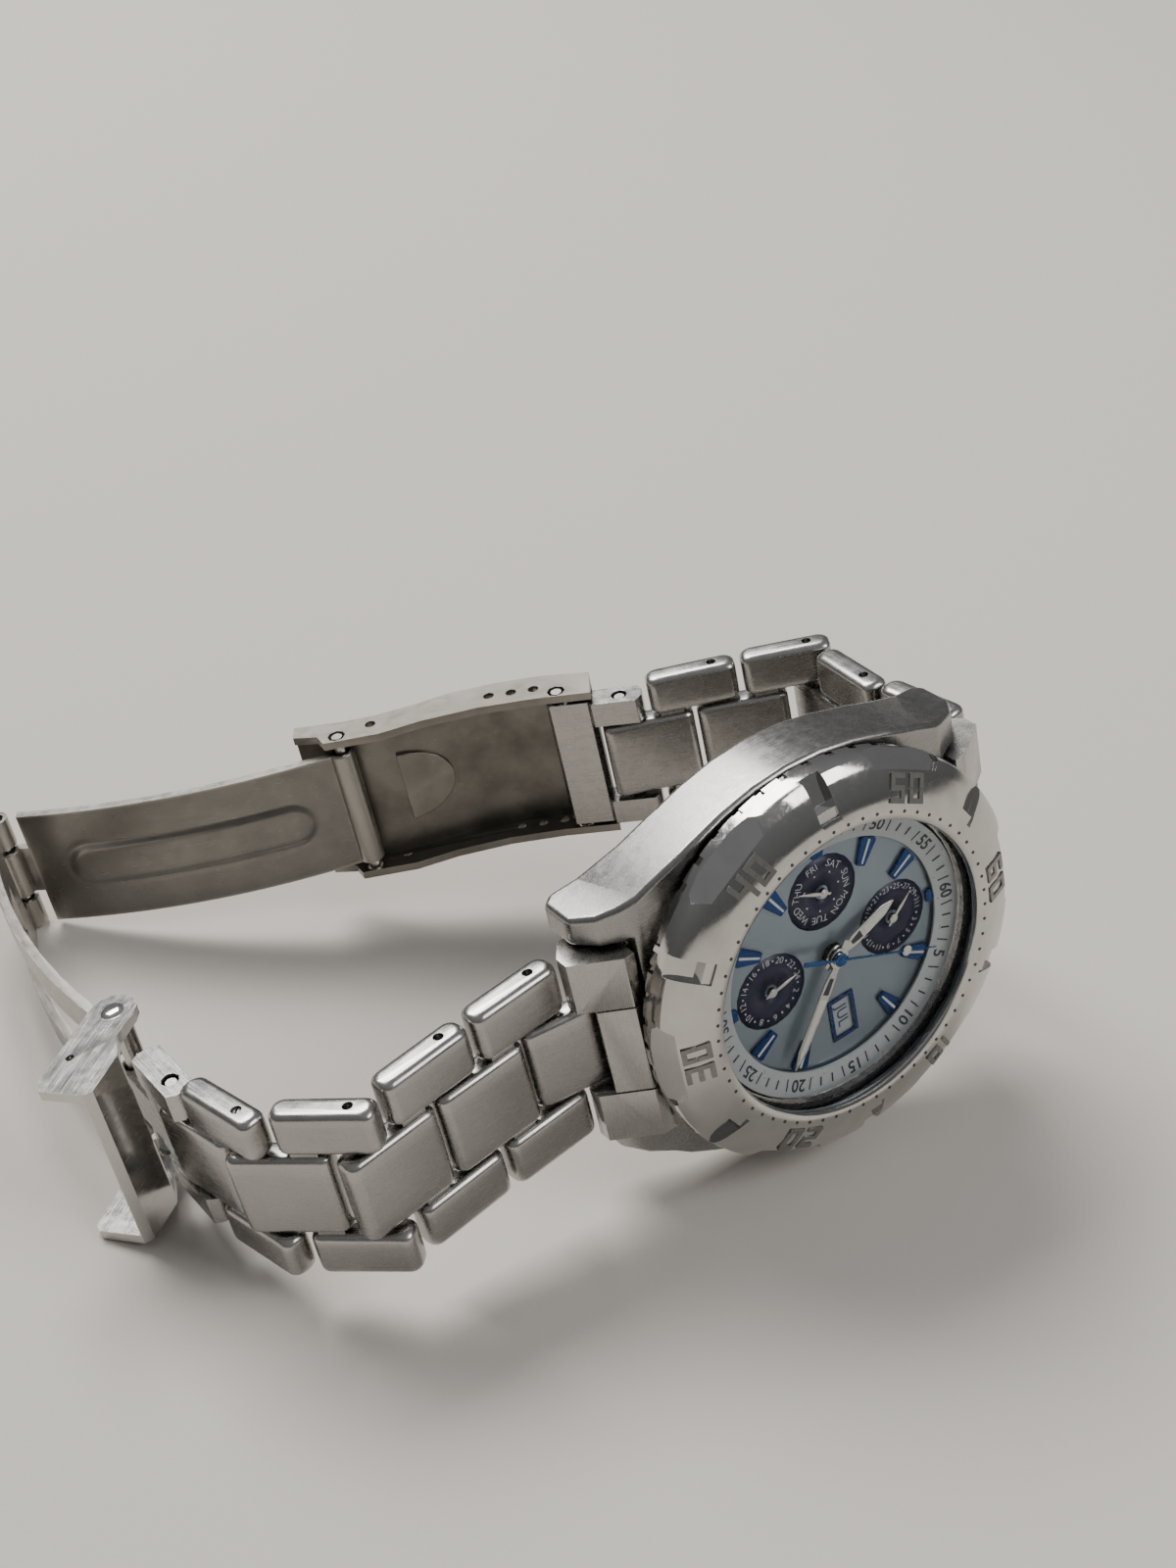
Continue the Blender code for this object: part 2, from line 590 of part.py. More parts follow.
def fold_point(hinge, catch):
    """Where the two blades meet: BLADE_A from the cover's hinge and BLADE_B from the catch pin."""
    dy, dz = catch[0] - hinge[0], catch[1] - hinge[1]
    span = math.hypot(dy, dz)
    foot = (BLADE_A ** 2 - BLADE_B ** 2 + span ** 2) / (2 * span)
    rise = math.sqrt(BLADE_A ** 2 - foot ** 2)
    uy, uz = dy / span, dz / span
    return (hinge[0] + uy * foot - uz * rise, hinge[1] + uz * foot + uy * rise)


def plane_frame(point, target):
    """A frame at `point` whose local X aims at `target` in the loop's plane; local Z is head +X."""
    along = Vector((0, target[0] - point[0], target[1] - point[1])).normalized()
    across = Vector((1, 0, 0))
    left = across.cross(along)
    turn = Matrix((along, left, across)).transposed().to_4x4()
    return Matrix.Translation(Vector((0, *point)) * MM) @ turn


def bow_outline(start, end, reach, sagitta, thick, lift_start, lift_end):
    """A thin strip that bows to its left by `sagitta`, between the hinges at 0 and `reach`.

    The lifts set its ends off to the left of their hinges, so that two strips can fold face to face.
    """
    count = 8
    rows = []
    for i in range(count + 1):
        x = start + (end - start) * i / count
        centre = 4 * sagitta * x * (reach - x) / reach ** 2
        centre += lift_start + (lift_end - lift_start) * x / reach
        rows.append((x, centre))
    lower = [(x, y - thick / 2) for x, y in rows]
    upper = [(x, y + thick / 2) for x, y in reversed(rows)]
    return lower + upper


def build_cover(bar):
    a = math.radians(COVER_HEADING)
    along = Vector((0, math.cos(a), math.sin(a)))
    inward = Vector((0, math.sin(a), -math.cos(a)))
    origin = cover_point(bar, 0.0, 0.0)
    turn = Matrix((along, inward, along.cross(inward))).transposed().to_4x4()
    holder = empty("cover_frame", ROOT, Matrix.Translation(Vector((0, *origin)) * MM) @ turn)
    outer_edge = [(0.0, -0.3), (5.0, -1.3), (10.0, -1.6), (15.0, -1.3), (19.0, -0.3), (23.0, 0.4),
                  (27.0, 0.5), (COVER_LENGTH, 0.0)]
    inner_edge = [(COVER_LENGTH, 2.0), (COVER_HINGE_U + 2.2, 2.6), (COVER_HINGE_U + 1.4, COVER_DEPTH),
                  (22.5, COVER_DEPTH), (18.0, 3.2), (12.0, 2.7), (6.0, 3.0), (0.0, 3.8)]
    half = COVER_WIDTH / 2
    cover = plate("clasp_cover", outer_edge + inner_edge, -half, half)
    channel_outer = [(u, v + COVER_WALL) for u, v in outer_edge]
    channel_outer[0] = (-1.0, channel_outer[0][1] + 0.2)
    channel_outer[-1] = (COVER_LENGTH + 1.0, channel_outer[-1][1])
    channel = channel_outer + [(COVER_LENGTH + 1.0, 6.0), (-1.0, 6.0)]
    trough = plate("cover_channel", channel, -half + COVER_WALL, half - COVER_WALL)
    combine(cover, helper(trough, holder), "DIFFERENCE")
    for i in range(ADJUST_HOLES):
        u = COVER_BAR_U + ADJUST_PITCH * i
        v = COVER_BAR_V if i == 0 else COVER_BAR_V - 1.1 - 0.15 * i
        hole = moved(disc("adjust_hole", 0.95 if i == 0 else 0.6, -12.0, 12.0, 8), (u, v, 0))
        combine(cover, helper(hole, holder), "DIFFERENCE")
    for u, v, radius in ((23.6, 2.0, 0.6), (COVER_HINGE_U, COVER_HINGE_V, 0.95)):
        hole = moved(disc("cover_hole", radius, -12.0, 12.0, 8), (u, v, 0))
        combine(cover, helper(hole, holder), "DIFFERENCE")
    keep(cover, holder, BRUSHED)
    build_pin("cover_hinge_pin", moved_empty("cover_hinge_axis", holder, COVER_HINGE_U,
                                             COVER_HINGE_V), 0.0, half - 0.1, 0.6)
    build_pin("adjust_spring_bar", moved_empty("adjust_bar_axis", holder, COVER_BAR_U, COVER_BAR_V),
              0.0, half - 0.1, 0.6)


def moved_empty(name, parent, x, y):
    return empty(name, parent, Matrix.Translation(Vector((x, y, 0)) * MM))


def build_outer_blade(hinge, fold):
    """The long blade that hinges in the cover, with a rolled knuckle at each end."""
    holder = empty("blade_a_axis", ROOT, plane_frame(hinge, fold))
    half = BLADE_WIDTH / 2
    blade = plate("clasp_blade_outer", bow_outline(0.9, BLADE_A - 0.9, BLADE_A, -SAGITTA_A,
                                                   BLADE_THICK, 0.0, FOLD_LIFT), -half, half)
    for at, low, high in ((0.0, -half, half), (BLADE_A, -2.9, 2.9)):
        knuckle = moved(disc("blade_knuckle", KNUCKLE_R, low, high, 12), (at, 0, 0))
        combine(blade, helper(knuckle, holder), "UNION")
    for sign in (-1, 1):
        low, high = sorted((sign * 3.3, sign * 8.0))
        notch = plate("blade_notch", [(BLADE_A - 2.4, -4.0), (BLADE_A + 3.0, -4.0),
                                      (BLADE_A + 3.0, 4.0), (BLADE_A - 2.4, 4.0)], low, high)
        combine(blade, helper(notch, holder), "DIFFERENCE")
    pin_cut(blade, holder, 0.0, 0.95, 12.0)
    pin_cut(blade, holder, BLADE_A, 0.95, 12.0)
    keep(blade, holder, PRESSED)
    build_pin("blade_fold_pin", moved_empty("fold_pin_axis", holder, BLADE_A, 0), 0.0, half, 0.6)


def build_inner_blade(fold, catch):
    """The forked blade from the fold to the catch pin, which it takes in two open hooks."""
    holder = empty("blade_b_axis", ROOT, plane_frame(fold, catch))
    half = BLADE_WIDTH / 2
    blade = plate("clasp_blade_inner", bow_outline(0.9, BLADE_B - 0.9, BLADE_B, SAGITTA_B,
                                                   BLADE_THICK, FOLD_LIFT, 0.0), -half, half)
    for at in (0.0, BLADE_B):
        knuckle = moved(disc("fork_knuckle", KNUCKLE_R, -half, half, 12), (at, 0, 0))
        combine(blade, helper(knuckle, holder), "UNION")
    slot = plate("fork_slot", [(7.0, -6.0), (BLADE_B + 3.0, -6.0), (BLADE_B + 3.0, 8.0), (7.0, 8.0)],
                 -3.1, 3.1)
    combine(blade, helper(slot, holder), "DIFFERENCE")
    fold_slot = plate("fold_slot", [(-3.0, -4.0), (2.6, -4.0), (2.6, 4.0), (-3.0, 4.0)], -3.6, 3.6)
    combine(blade, helper(fold_slot, holder), "DIFFERENCE")
    pin_cut(blade, holder, 0.0, 0.95, 12.0)
    pin_cut(blade, holder, BLADE_B, 1.0, 12.0)
    mouth = plate("hook_mouth", [(-0.65, -4.0), (4.0, -4.0), (4.0, 1.6), (-0.65, 1.6)], -12.0, 12.0)
    combine(blade, helper(moved(mouth, (BLADE_B, 0, 0), (0, 0, HOOK_MOUTH)), holder), "DIFFERENCE")
    keep(blade, holder, PRESSED)


def build_safety_catch(catch):
    """The U-shaped catch: two ears on the catch pin and a plate between them."""
    aim = (catch[0] - 6.2, catch[1] + 4.7)
    holder = empty("catch_axis", ROOT, plane_frame(catch, aim))
    ear = arc(0, 0, 2.3, 90, 270, 6) + [(3.2, -2.3), (5.6, -3.6), (10.2, -3.6), (10.9, -2.9),
                                        (10.9, 1.6), (10.2, 2.3)]
    body = plate("safety_catch", ear, -EAR_OUTER, EAR_OUTER)
    hollow_outline = [(-4.0, -5.0), (5.2, -5.0), (5.2, -2.8), (12.0, -2.8), (12.0, 6.0), (-4.0, 6.0)]
    hollow = plate("catch_hollow", hollow_outline, -EAR_OUTER + EAR_THICK, EAR_OUTER - EAR_THICK)
    combine(body, helper(hollow, holder), "DIFFERENCE")
    pin_cut(body, holder, 0.0, 0.95, 12.0)
    keep(body, holder, BRUSHED)
    build_pin("catch_pin", holder, 0.0, EAR_OUTER - 0.1, 0.6)


build_case()
build_back()
build_bezel()
build_crystal()
build_dial()
build_hands()
build_movement()
build_crown()
for strap_side, strap_label in ((-1, "6"), (1, "12")):
    build_end_link(strap_side, strap_label)
catch_point, catch_holder = build_strap(-1, "6")
bar_point, bar_holder = build_strap(1, "12")
hinge_point = cover_point(bar_point, COVER_HINGE_U, COVER_HINGE_V)
build_cover(bar_point)
fold = fold_point(hinge_point, catch_point)
build_outer_blade(hinge_point, fold)
build_inner_blade(fold, catch_point)
build_safety_catch(catch_point)
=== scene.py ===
"""Looks of the steel wristwatch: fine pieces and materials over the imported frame.

Lengths are in millimetres in the head frame (origin at the dial's centre, +X to 3 o'clock, +Y to
12 o'clock, +Z out of the glass), and HEAD turns them into the row frame in metres.
"""
import json
import math

import bmesh
import bpy
from mathutils import Matrix, Vector


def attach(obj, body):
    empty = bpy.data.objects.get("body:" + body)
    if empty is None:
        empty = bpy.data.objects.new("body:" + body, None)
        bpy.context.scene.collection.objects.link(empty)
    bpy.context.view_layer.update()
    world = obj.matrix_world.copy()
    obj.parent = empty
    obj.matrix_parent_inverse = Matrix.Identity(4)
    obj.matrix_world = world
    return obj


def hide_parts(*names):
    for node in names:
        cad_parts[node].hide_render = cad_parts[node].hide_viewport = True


MM = 0.001
MERGE = 0.000002
SAME = Matrix.Identity(4)

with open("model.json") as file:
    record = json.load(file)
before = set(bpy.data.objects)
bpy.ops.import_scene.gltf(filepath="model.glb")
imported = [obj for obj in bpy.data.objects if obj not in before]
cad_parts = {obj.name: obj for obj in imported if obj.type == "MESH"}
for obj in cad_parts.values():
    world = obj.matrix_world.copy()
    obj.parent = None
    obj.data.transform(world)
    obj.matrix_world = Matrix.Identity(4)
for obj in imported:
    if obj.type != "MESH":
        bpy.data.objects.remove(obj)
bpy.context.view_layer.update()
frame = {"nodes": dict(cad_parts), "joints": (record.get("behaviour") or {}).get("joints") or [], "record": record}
NODES = frame["nodes"]
JOINTS = {joint["name"]: joint for joint in frame["joints"]}
BODY_OF = {node: body for body, members in frame["record"]["behaviour"]["bodies"].items()
           for node in members}

# How the watch lies: the directions of the dial's face and of its 3 o'clock
REST_UP = (-0.9779, 0.1863, 0.0947)
REST_RIGHT = (0.190, 0.808, 0.557)

# Watch head
DIAL_R = 14.4
DIAL_TOP = -0.6
RING_INNER_R = 12.0
RING_LOW = -0.1
RING_HIGH = 0.35
SUBDIAL_OFFSET = 7.2
SUBDIAL_R = 3.9
SUBDIAL_TOP = DIAL_TOP - 0.12
BEZEL_OUTER_R = 20.5
BEZEL_OPENING_R = 14.7
BEZEL_BORE_R = 18.0
BEZEL_TOP = 2.85
BEZEL_BOTTOM = -2.2
SLOPE_START_R = 16.0
SLOPE_RUN = 3.5
SLOPE_FALL = BEZEL_TOP - 1.5
NUMERALS = 6
NUMERAL_R = 17.6
CASE_BORES_R = 17.6
LUG_HOLE_Y = 20.8
LUG_HOLE_Z = -7.6
END_LINK_STEP = 4.85

# Bracelet and clasp
HALF_LINK = 5.8
PITCH = 10.1
LINK_LENGTH = 9.5
PIN_INSET = 2.4
LINK_THICK = 2.9
CENTRE_WIDTH = 9.0
SIDE_GAP = 0.35
STRAP_WIDTH = 20.0
STRAP_TAPER = 0.5
BLADE_WIDTH = 14.0
BLADE_THICK = 1.0
BLADE_A = 38.0
SAGITTA_A = 2.2
FOLD_LIFT = 0.65
KNUCKLE_R = 1.35
KNUCKLE_BORE_R = 0.95
FOLD_HALF = 2.85
PIN_R = 0.49
PIN_HOLE_R = 0.5
PIN_HOLE_DEPTH = 1.4
BEYOND = 12.0

# Clockwise angles of the hands
HOUR_ANGLE = 340.5
MINUTE_ANGLE = 126.4
SECOND_ANGLE = 25.0
DAY_ANGLE = 205.7
DATE_ANGLE = 319.0
HOUR24_ANGLE = 350.0

# The camera in the head frame, and its directions
VIEW_PLACE = (-131.62, -89.69, 134.08)
VIEW_RIGHT = (0.18953, 0.80836, 0.55734)
VIEW_UP = (-0.80999, 0.44955, -0.37659)
VIEW_AHEAD = (0.55497, 0.38007, -0.73997)
VIEW_LENS = 51.75
SENSOR = 36.0


# ---------------------------------------------------------------- placing
def head_matrix():
    """Head frame in millimetres to row frame in metres; the dial's axis meets its hands' joints."""
    up = Vector(REST_UP).normalized()
    side = Vector(REST_RIGHT)
    right = (side - up * side.dot(up)).normalized()
    turn = Matrix((right, up.cross(right), up)).to_4x4()
    centre = Vector(JOINTS["second_turn"]["pos_m"])
    return Matrix.Translation(centre) @ turn


HEAD = head_matrix()
ACROSS = HEAD.to_3x3() @ Vector((1, 0, 0))


def joint_point(name):
    return Vector(JOINTS[name]["pos_m"])


def strap_matrix(start, end, across):
    """A frame at one joint whose X aims at the next one, with Z across the bracelet."""
    along = (joint_point(end) - joint_point(start)).normalized()
    across = (across - along * across.dot(along)).normalized()
    turn = Matrix((along, across.cross(along), across)).transposed().to_4x4()
    return Matrix.Translation(joint_point(start)) @ turn


def piece_frames():
    """The local frame of every moving bracelet and clasp node."""
    frames = {}
    for side, across, last in (("6", -ACROSS, "catch_turn"), ("12", ACROSS, "cover_turn")):
        stops = ["hinge_%s_%d" % (side, number) for number in range(6)] + [last]
        names = (["half_link_" + side] + ["link_%s_%d" % (side, number) for number in range(1, 5)]
                 + ["clasp_end_link_" + side])
        for name, start, end in zip(names, stops, stops[1:]):
            frames[name] = strap_matrix(start, end, across)
    frames["clasp_cover"] = strap_matrix("cover_turn", "blade_a_turn", -ACROSS)
    frames["clasp_blade_outer"] = strap_matrix("blade_a_turn", "blade_b_turn", ACROSS)
    frames["clasp_blade_inner"] = strap_matrix("blade_b_turn", "catch_turn", ACROSS)
    return frames


FRAMES = piece_frames()


def link(obj):
    bpy.context.scene.collection.objects.link(obj)


def baked(obj):
    """The mesh of an object in the scene, with its modifiers applied."""
    graph = bpy.context.evaluated_depsgraph_get()
    return bpy.data.meshes.new_from_object(obj.evaluated_get(graph))


def place(obj, node, matrix=HEAD, replace=False):
    """Bake an object's modifiers, set its mesh at a frame and let it ride with its body.

    Each vertex keeps its place in the local frame, which the brushed materials run along.
    """
    link(obj)
    mesh = baked(obj)
    name = obj.name
    bpy.data.objects.remove(obj, do_unlink=True)
    local = mesh.attributes.new("local_place", "FLOAT_VECTOR", "POINT")
    places = [0.0] * (3 * len(mesh.vertices))
    mesh.vertices.foreach_get("co", places)
    local.data.foreach_set("vector", places)
    mesh.transform(matrix)
    piece = bpy.data.objects.new(name, mesh)
    link(piece)
    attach(piece, BODY_OF[node])
    if replace:
        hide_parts(node)
    return piece


# ---------------------------------------------------------------- materials
class Shader:
    """A Principled material and short calls for the nodes that feed it."""

    def __init__(self, name, colour, metallic, roughness, local=False):
        self.material = bpy.data.materials.new(name)
        self.material.use_nodes = True
        self.nodes = self.material.node_tree.nodes
        self.links = self.material.node_tree.links
        self.surface = self.nodes["Principled BSDF"]
        self.surface.inputs["Base Color"].default_value = (*colour, 1.0)
        self.surface.inputs["Metallic"].default_value = metallic
        self.surface.inputs["Roughness"].default_value = roughness
        if local:
            place_of = self.nodes.new("ShaderNodeAttribute")
            place_of.attribute_name = "local_place"
            self.coordinates = place_of.outputs["Vector"]
        else:
            self.coordinates = self.nodes.new("ShaderNodeTexCoord").outputs["Object"]

    def drive(self, key, value):
        self.links.new(value, self.surface.inputs[key])

    def noise(self, scale, detail=3.0, stretch=(1.0, 1.0, 1.0)):
        mapping = self.nodes.new("ShaderNodeMapping")
        mapping.inputs["Scale"].default_value = [scale * factor for factor in stretch]
        self.links.new(self.coordinates, mapping.inputs["Vector"])
        noise = self.nodes.new("ShaderNodeTexNoise")
        noise.inputs["Scale"].default_value = 1.0
        noise.inputs["Detail"].default_value = detail
        self.links.new(mapping.outputs["Vector"], noise.inputs["Vector"])
        return noise.outputs["Fac"]

    def remap(self, value, low, high, to_low, to_high):
        node = self.nodes.new("ShaderNodeMapRange")
        for key, number in (("From Min", low), ("From Max", high), ("To Min", to_low),
                            ("To Max", to_high)):
            node.inputs[key].default_value = number
        self.links.new(value, node.inputs["Value"])
        return node.outputs["Result"]

    def blend(self, factor, first, second):
        node = self.nodes.new("ShaderNodeMix")
        node.data_type = "RGBA"
        self.links.new(factor, node.inputs["Factor"])
        for socket, colour in ((node.inputs[6], first), (node.inputs[7], second)):
            if isinstance(colour, tuple):
                socket.default_value = (*colour, 1.0)
            else:
                self.links.new(colour, socket)
        return node.outputs[2]

    def add(self, first, second):
        node = self.nodes.new("ShaderNodeMath")
        node.operation = "ADD"
        self.links.new(first, node.inputs[0])
        self.links.new(second, node.inputs[1])
        return node.outputs["Value"]

    def bump(self, height, strength, distance):
        node = self.nodes.new("ShaderNodeBump")
        node.inputs["Strength"].default_value = strength
        node.inputs["Distance"].default_value = distance
        self.links.new(height, node.inputs["Height"])
        self.drive("Normal", node.outputs["Normal"])

    def edges(self, low, high):
        """0 in hollows and 1 on worn outer edges."""
        geometry = self.nodes.new("ShaderNodeNewGeometry")
        return self.remap(geometry.outputs["Pointiness"], low, high, 0.0, 1.0)


def shade(colour, factor):
    return tuple(channel * factor for channel in colour)


def steel(name, colour=(0.40, 0.39, 0.37), roughness=0.3, along="X", grain=0.5, stain=0.1,
          local=True, wear=1.6):
    """Steel with fine brush lines along one axis, faint stains and edges brighter by `wear`.

    `local` says that the axis is the piece's own, and "" stands for a grain without direction.
    """
    shader = Shader(name, colour, 1.0, roughness, local)
    stretch = {"X": (0.03, 1, 1), "Y": (1, 0.03, 1), "Z": (1, 1, 0.03), "": (1, 1, 1)}[along]
    lines = shader.noise(9000, 2.0, stretch)
    cloud = shader.noise(260, 4.0)
    smear = shader.noise(900, 3.0)
    worn = shader.blend(shader.remap(cloud, 0.35, 0.7, 0.0, stain), colour, shade(colour, 0.4))
    worn = shader.blend(shader.remap(lines, 0.3, 0.7, 0.0, 0.25), worn, shade(colour, 0.75))
    edged = shader.blend(shader.edges(0.51, 0.58), worn, shade(colour, wear))
    shader.drive("Base Color", edged)
    spread = shader.add(shader.remap(lines, 0.3, 0.7, roughness - 0.05, roughness + 0.05),
                        shader.remap(smear, 0.3, 0.7, -0.03, 0.05))
    shader.drive("Roughness", spread)
    shader.bump(lines, grain, 0.000004)
    return shader.material


def polished(name, colour=(0.68, 0.67, 0.65), roughness=0.1):
    """Mirror-bright steel with hairline scratches and a little handling haze."""
    shader = Shader(name, colour, 1.0, roughness)
    haze = shader.noise(420, 4.0)
    scratches = shader.noise(3500, 2.0, (1, 0.12, 1))
    tint = shader.blend(shader.remap(haze, 0.4, 0.75, 0.0, 0.35), colour, shade(colour, 0.7))
    shader.drive("Base Color", tint)
    spread = shader.add(shader.remap(haze, 0.35, 0.7, roughness - 0.03, roughness + 0.08),
                        shader.remap(scratches, 0.45, 0.75, 0.0, 0.06))
    shader.drive("Roughness", spread)
    shader.bump(scratches, 0.12, 0.00001)
    return shader.material


def paint(name, colour, roughness=0.4, metallic=0.0, speckle=0.15, scale=2500):
    """Lacquer, print or moulded plastic with a fine mottled surface."""
    shader = Shader(name, colour, metallic, roughness)
    grain = shader.noise(scale, 3.0)
    tint = shader.blend(shader.remap(grain, 0.3, 0.7, 0.0, speckle), colour, shade(colour, 0.6))
    shader.drive("Base Color", tint)
    shader.drive("Roughness", shader.remap(grain, 0.3, 0.7, roughness - 0.05, roughness + 0.06))
    shader.bump(grain, 0.1, 0.00001)
    return shader.material


def dial_lacquer(name):
    """Silver-blue metallic lacquer with fine flake."""
    colour = (0.26, 0.32, 0.37)
    shader = Shader(name, colour, 0.75, 0.34)
    flake = shader.noise(14000, 2.0)
    cloud = shader.noise(120, 2.0)
    tint = shader.blend(shader.remap(cloud, 0.3, 0.7, 0.0, 0.5), colour, (0.32, 0.38, 0.42))
    shader.drive("Base Color", tint)
    shader.drive("Roughness", shader.remap(flake, 0.3, 0.7, 0.28, 0.42))
    shader.bump(flake, 0.12, 0.00001)
    return shader.material


def glass(name):
    """Clear glass, nearly black so that it doesn't haze the dial, with faint smudges."""
    shader = Shader(name, (0.02, 0.025, 0.03), 0.0, 0.02)
    shader.surface.inputs["Alpha"].default_value = 0.08
    smudge = shader.noise(300, 3.0)
    shader.drive("Roughness", shader.remap(smudge, 0.4, 0.8, 0.01, 0.06))
    return shader.material


# ---------------------------------------------------------------- shapes
def dress(mesh, material):
    mesh.materials.clear()
    mesh.materials.append(material)


def new_object(name, mesh, material):
    dress(mesh, material)
    return bpy.data.objects.new(name, mesh)


def smooth(obj, angle=32):
    obj.data.shade_smooth()
    obj.data.set_sharp_from_angle(angle=math.radians(angle))
    return obj


def curve_mesh(curve):
    """The mesh of a curve or text, in metres, with its seams closed."""
    source = bpy.data.objects.new("shape_source", curve)
    link(source)
    mesh = baked(source)
    bpy.data.objects.remove(source, do_unlink=True)
    bpy.data.curves.remove(curve)
    shell = bmesh.new()
    shell.from_mesh(mesh)
    bmesh.ops.remove_doubles(shell, verts=shell.verts, dist=MERGE)
    shell.to_mesh(mesh)
    shell.free()
    return mesh


def rectangle(low_x, high_x, low_y, high_y):
    return [(low_x, low_y), (high_x, low_y), (high_x, high_y), (low_x, high_y)]


def plate(outline, low, high):
    """A closed outline in the local XY plane, thick from low to high."""
    curve = bpy.data.curves.new("outline", "CURVE")
    curve.dimensions = "2D"
    curve.fill_mode = "BOTH"
    curve.extrude = (high - low) / 2 * MM
    spline = curve.splines.new("POLY")
    spline.points.add(len(outline) - 1)
    for point, (x, y) in zip(spline.points, outline):
        point.co = (x * MM, y * MM, 0.0, 1.0)
    spline.use_cyclic_u = True
    mesh = curve_mesh(curve)
    mesh.transform(Matrix.Translation((0, 0, (low + high) / 2 * MM)))
    return mesh


def dot(radius, thick):
    outline = [(radius * math.cos(a), radius * math.sin(a))
               for a in (math.tau * i / 10 for i in range(10))]
    return plate(outline, 0.0, thick)


def words(text, size, bold=0.0):
    """Flat text centred on the local origin, with its top towards +Y."""
    curve = bpy.data.curves.new("text", "FONT")
    curve.body = text
    curve.size = size * MM
    curve.align_x = "CENTER"
    curve.align_y = "CENTER"
    curve.resolution_u = 4
    curve.extrude = 0.01 / 2 * MM
    curve.offset = bold * MM
    return curve_mesh(curve)


def turned(name, profile, steps=128, ring=True):
    """A profile of (radius, height) turned about Z, its outer side running from top to bottom.

    `ring` joins the profile's two ends; without it, they lie on the axis.
    """
    mesh = bpy.data.meshes.new(name)
    edges = [(i, i + 1) for i in range(len(profile) - 1)]
    if ring:
        edges.append((len(profile) - 1, 0))
    mesh.from_pydata([(r * MM, 0.0, z * MM) for r, z in profile], edges, [])
    source = bpy.data.objects.new(name, mesh)
    link(source)
    screw = source.modifiers.new("turn", "SCREW")
    screw.axis = "Z"
    screw.angle = math.tau
    screw.steps = steps
    screw.render_steps = steps
    screw.use_merge_vertices = True
    screw.merge_threshold = 0.000001
    solid = baked(source)
    bpy.data.objects.remove(source, do_unlink=True)
    return solid


def rounded_rectangle(x, half_x, half_y, radius, steps=5):
    """Corner by corner, the points of a rounded rectangle centred at (x, 0)."""
    radius = min(radius, half_x, half_y)
    points = []
    for corner, (sx, sy) in enumerate(((1, 1), (-1, 1), (-1, -1), (1, -1))):
        for i in range(steps + 1):
            a = math.radians(90 * corner + 90 * i / steps)
            points.append((x + sx * (half_x - radius) + radius * math.cos(a),
                           sy * (half_y - radius) + radius * math.sin(a)))
    return points


def pillow(start, end, thick, low, high):
    """A bar along X with soft edges all round, whose faces swell towards its middle."""
    corner, edge, crown = 1.0, 0.7, 0.06
    rows = [(low + edge * (1 - math.cos(a)), edge * (1 - math.sin(a)))
            for a in (math.radians(90 * i / 5) for i in range(6))]
    rows += [(low + edge + (high - low - 2 * edge) * i / 6, 0.0) for i in range(1, 6)]
    rows += [(high + low - z, inset) for z, inset in reversed(rows[:6])]
    middle, half = (low + high) / 2, (high - low) / 2
    points, faces = [], []
    for z, inset in rows:
        swell = 1 - crown * ((z - middle) / half) ** 2
        section = rounded_rectangle((start + end) / 2, (end - start) / 2 - inset,
                                    thick / 2 * swell - inset, corner)
        points += [(x * MM, y * MM, z * MM) for x, y in section]
    count = len(points) // len(rows)
    for row in range(len(rows) - 1):
        for i in range(count):
            a, b = row * count + i, row * count + (i + 1) % count
            faces.append((a, b, b + count, a + count))
    faces += [tuple(reversed(range(count))), tuple(range(len(points) - count, len(points)))]
    mesh = bpy.data.meshes.new("pillow")
    mesh.from_pydata(points, [], faces)
    return mesh


def joined(name, meshes):
    """One mesh out of (mesh, matrix) pairs."""
    shell = bmesh.new()
    for mesh, matrix in meshes:
        mesh.transform(matrix)
        shell.from_mesh(mesh)
    out = bpy.data.meshes.new(name)
    shell.to_mesh(out)
    shell.free()
    return out


def move(x, y, z=0.0):
    return Matrix.Translation((x * MM, y * MM, z * MM))


def clockwise(angle):
    return Matrix.Rotation(math.radians(-angle), 4, "Z")


def bevel(obj, width, segments=3, angle=35):
    modifier = obj.modifiers.new("round_edges", "BEVEL")
    modifier.width = width * MM
    modifier.segments = segments
    modifier.limit_method = "ANGLE"
    modifier.angle_limit = math.radians(angle)
    return obj


def cut(obj, cutters):
    """The object without the (mesh, matrix) pairs of `cutters`, under the same name."""
    cutter = bpy.data.objects.new("cutters", joined("cutters", cutters))
    link(cutter)
    link(obj)
    modifier = obj.modifiers.new("cut", "BOOLEAN")
    modifier.operation = "DIFFERENCE"
    modifier.solver = "EXACT"
    modifier.use_self = True
    modifier.object = cutter
    result = baked(obj)
    name, material = obj.name, obj.data.materials[0]
    bpy.data.objects.remove(obj, do_unlink=True)
    bpy.data.objects.remove(cutter, do_unlink=True)
    return new_object(name, result, material)


def own_shape(node, matrix):
    """A CAD node's shape in a local frame: a new mesh, and its bmesh with the seams closed."""
    mesh = NODES[node].data.copy()
    mesh.transform(matrix.inverted())
    shell = bmesh.new()
    shell.from_mesh(mesh)
    bmesh.ops.remove_doubles(shell, verts=shell.verts, dist=MERGE)
    return mesh, shell


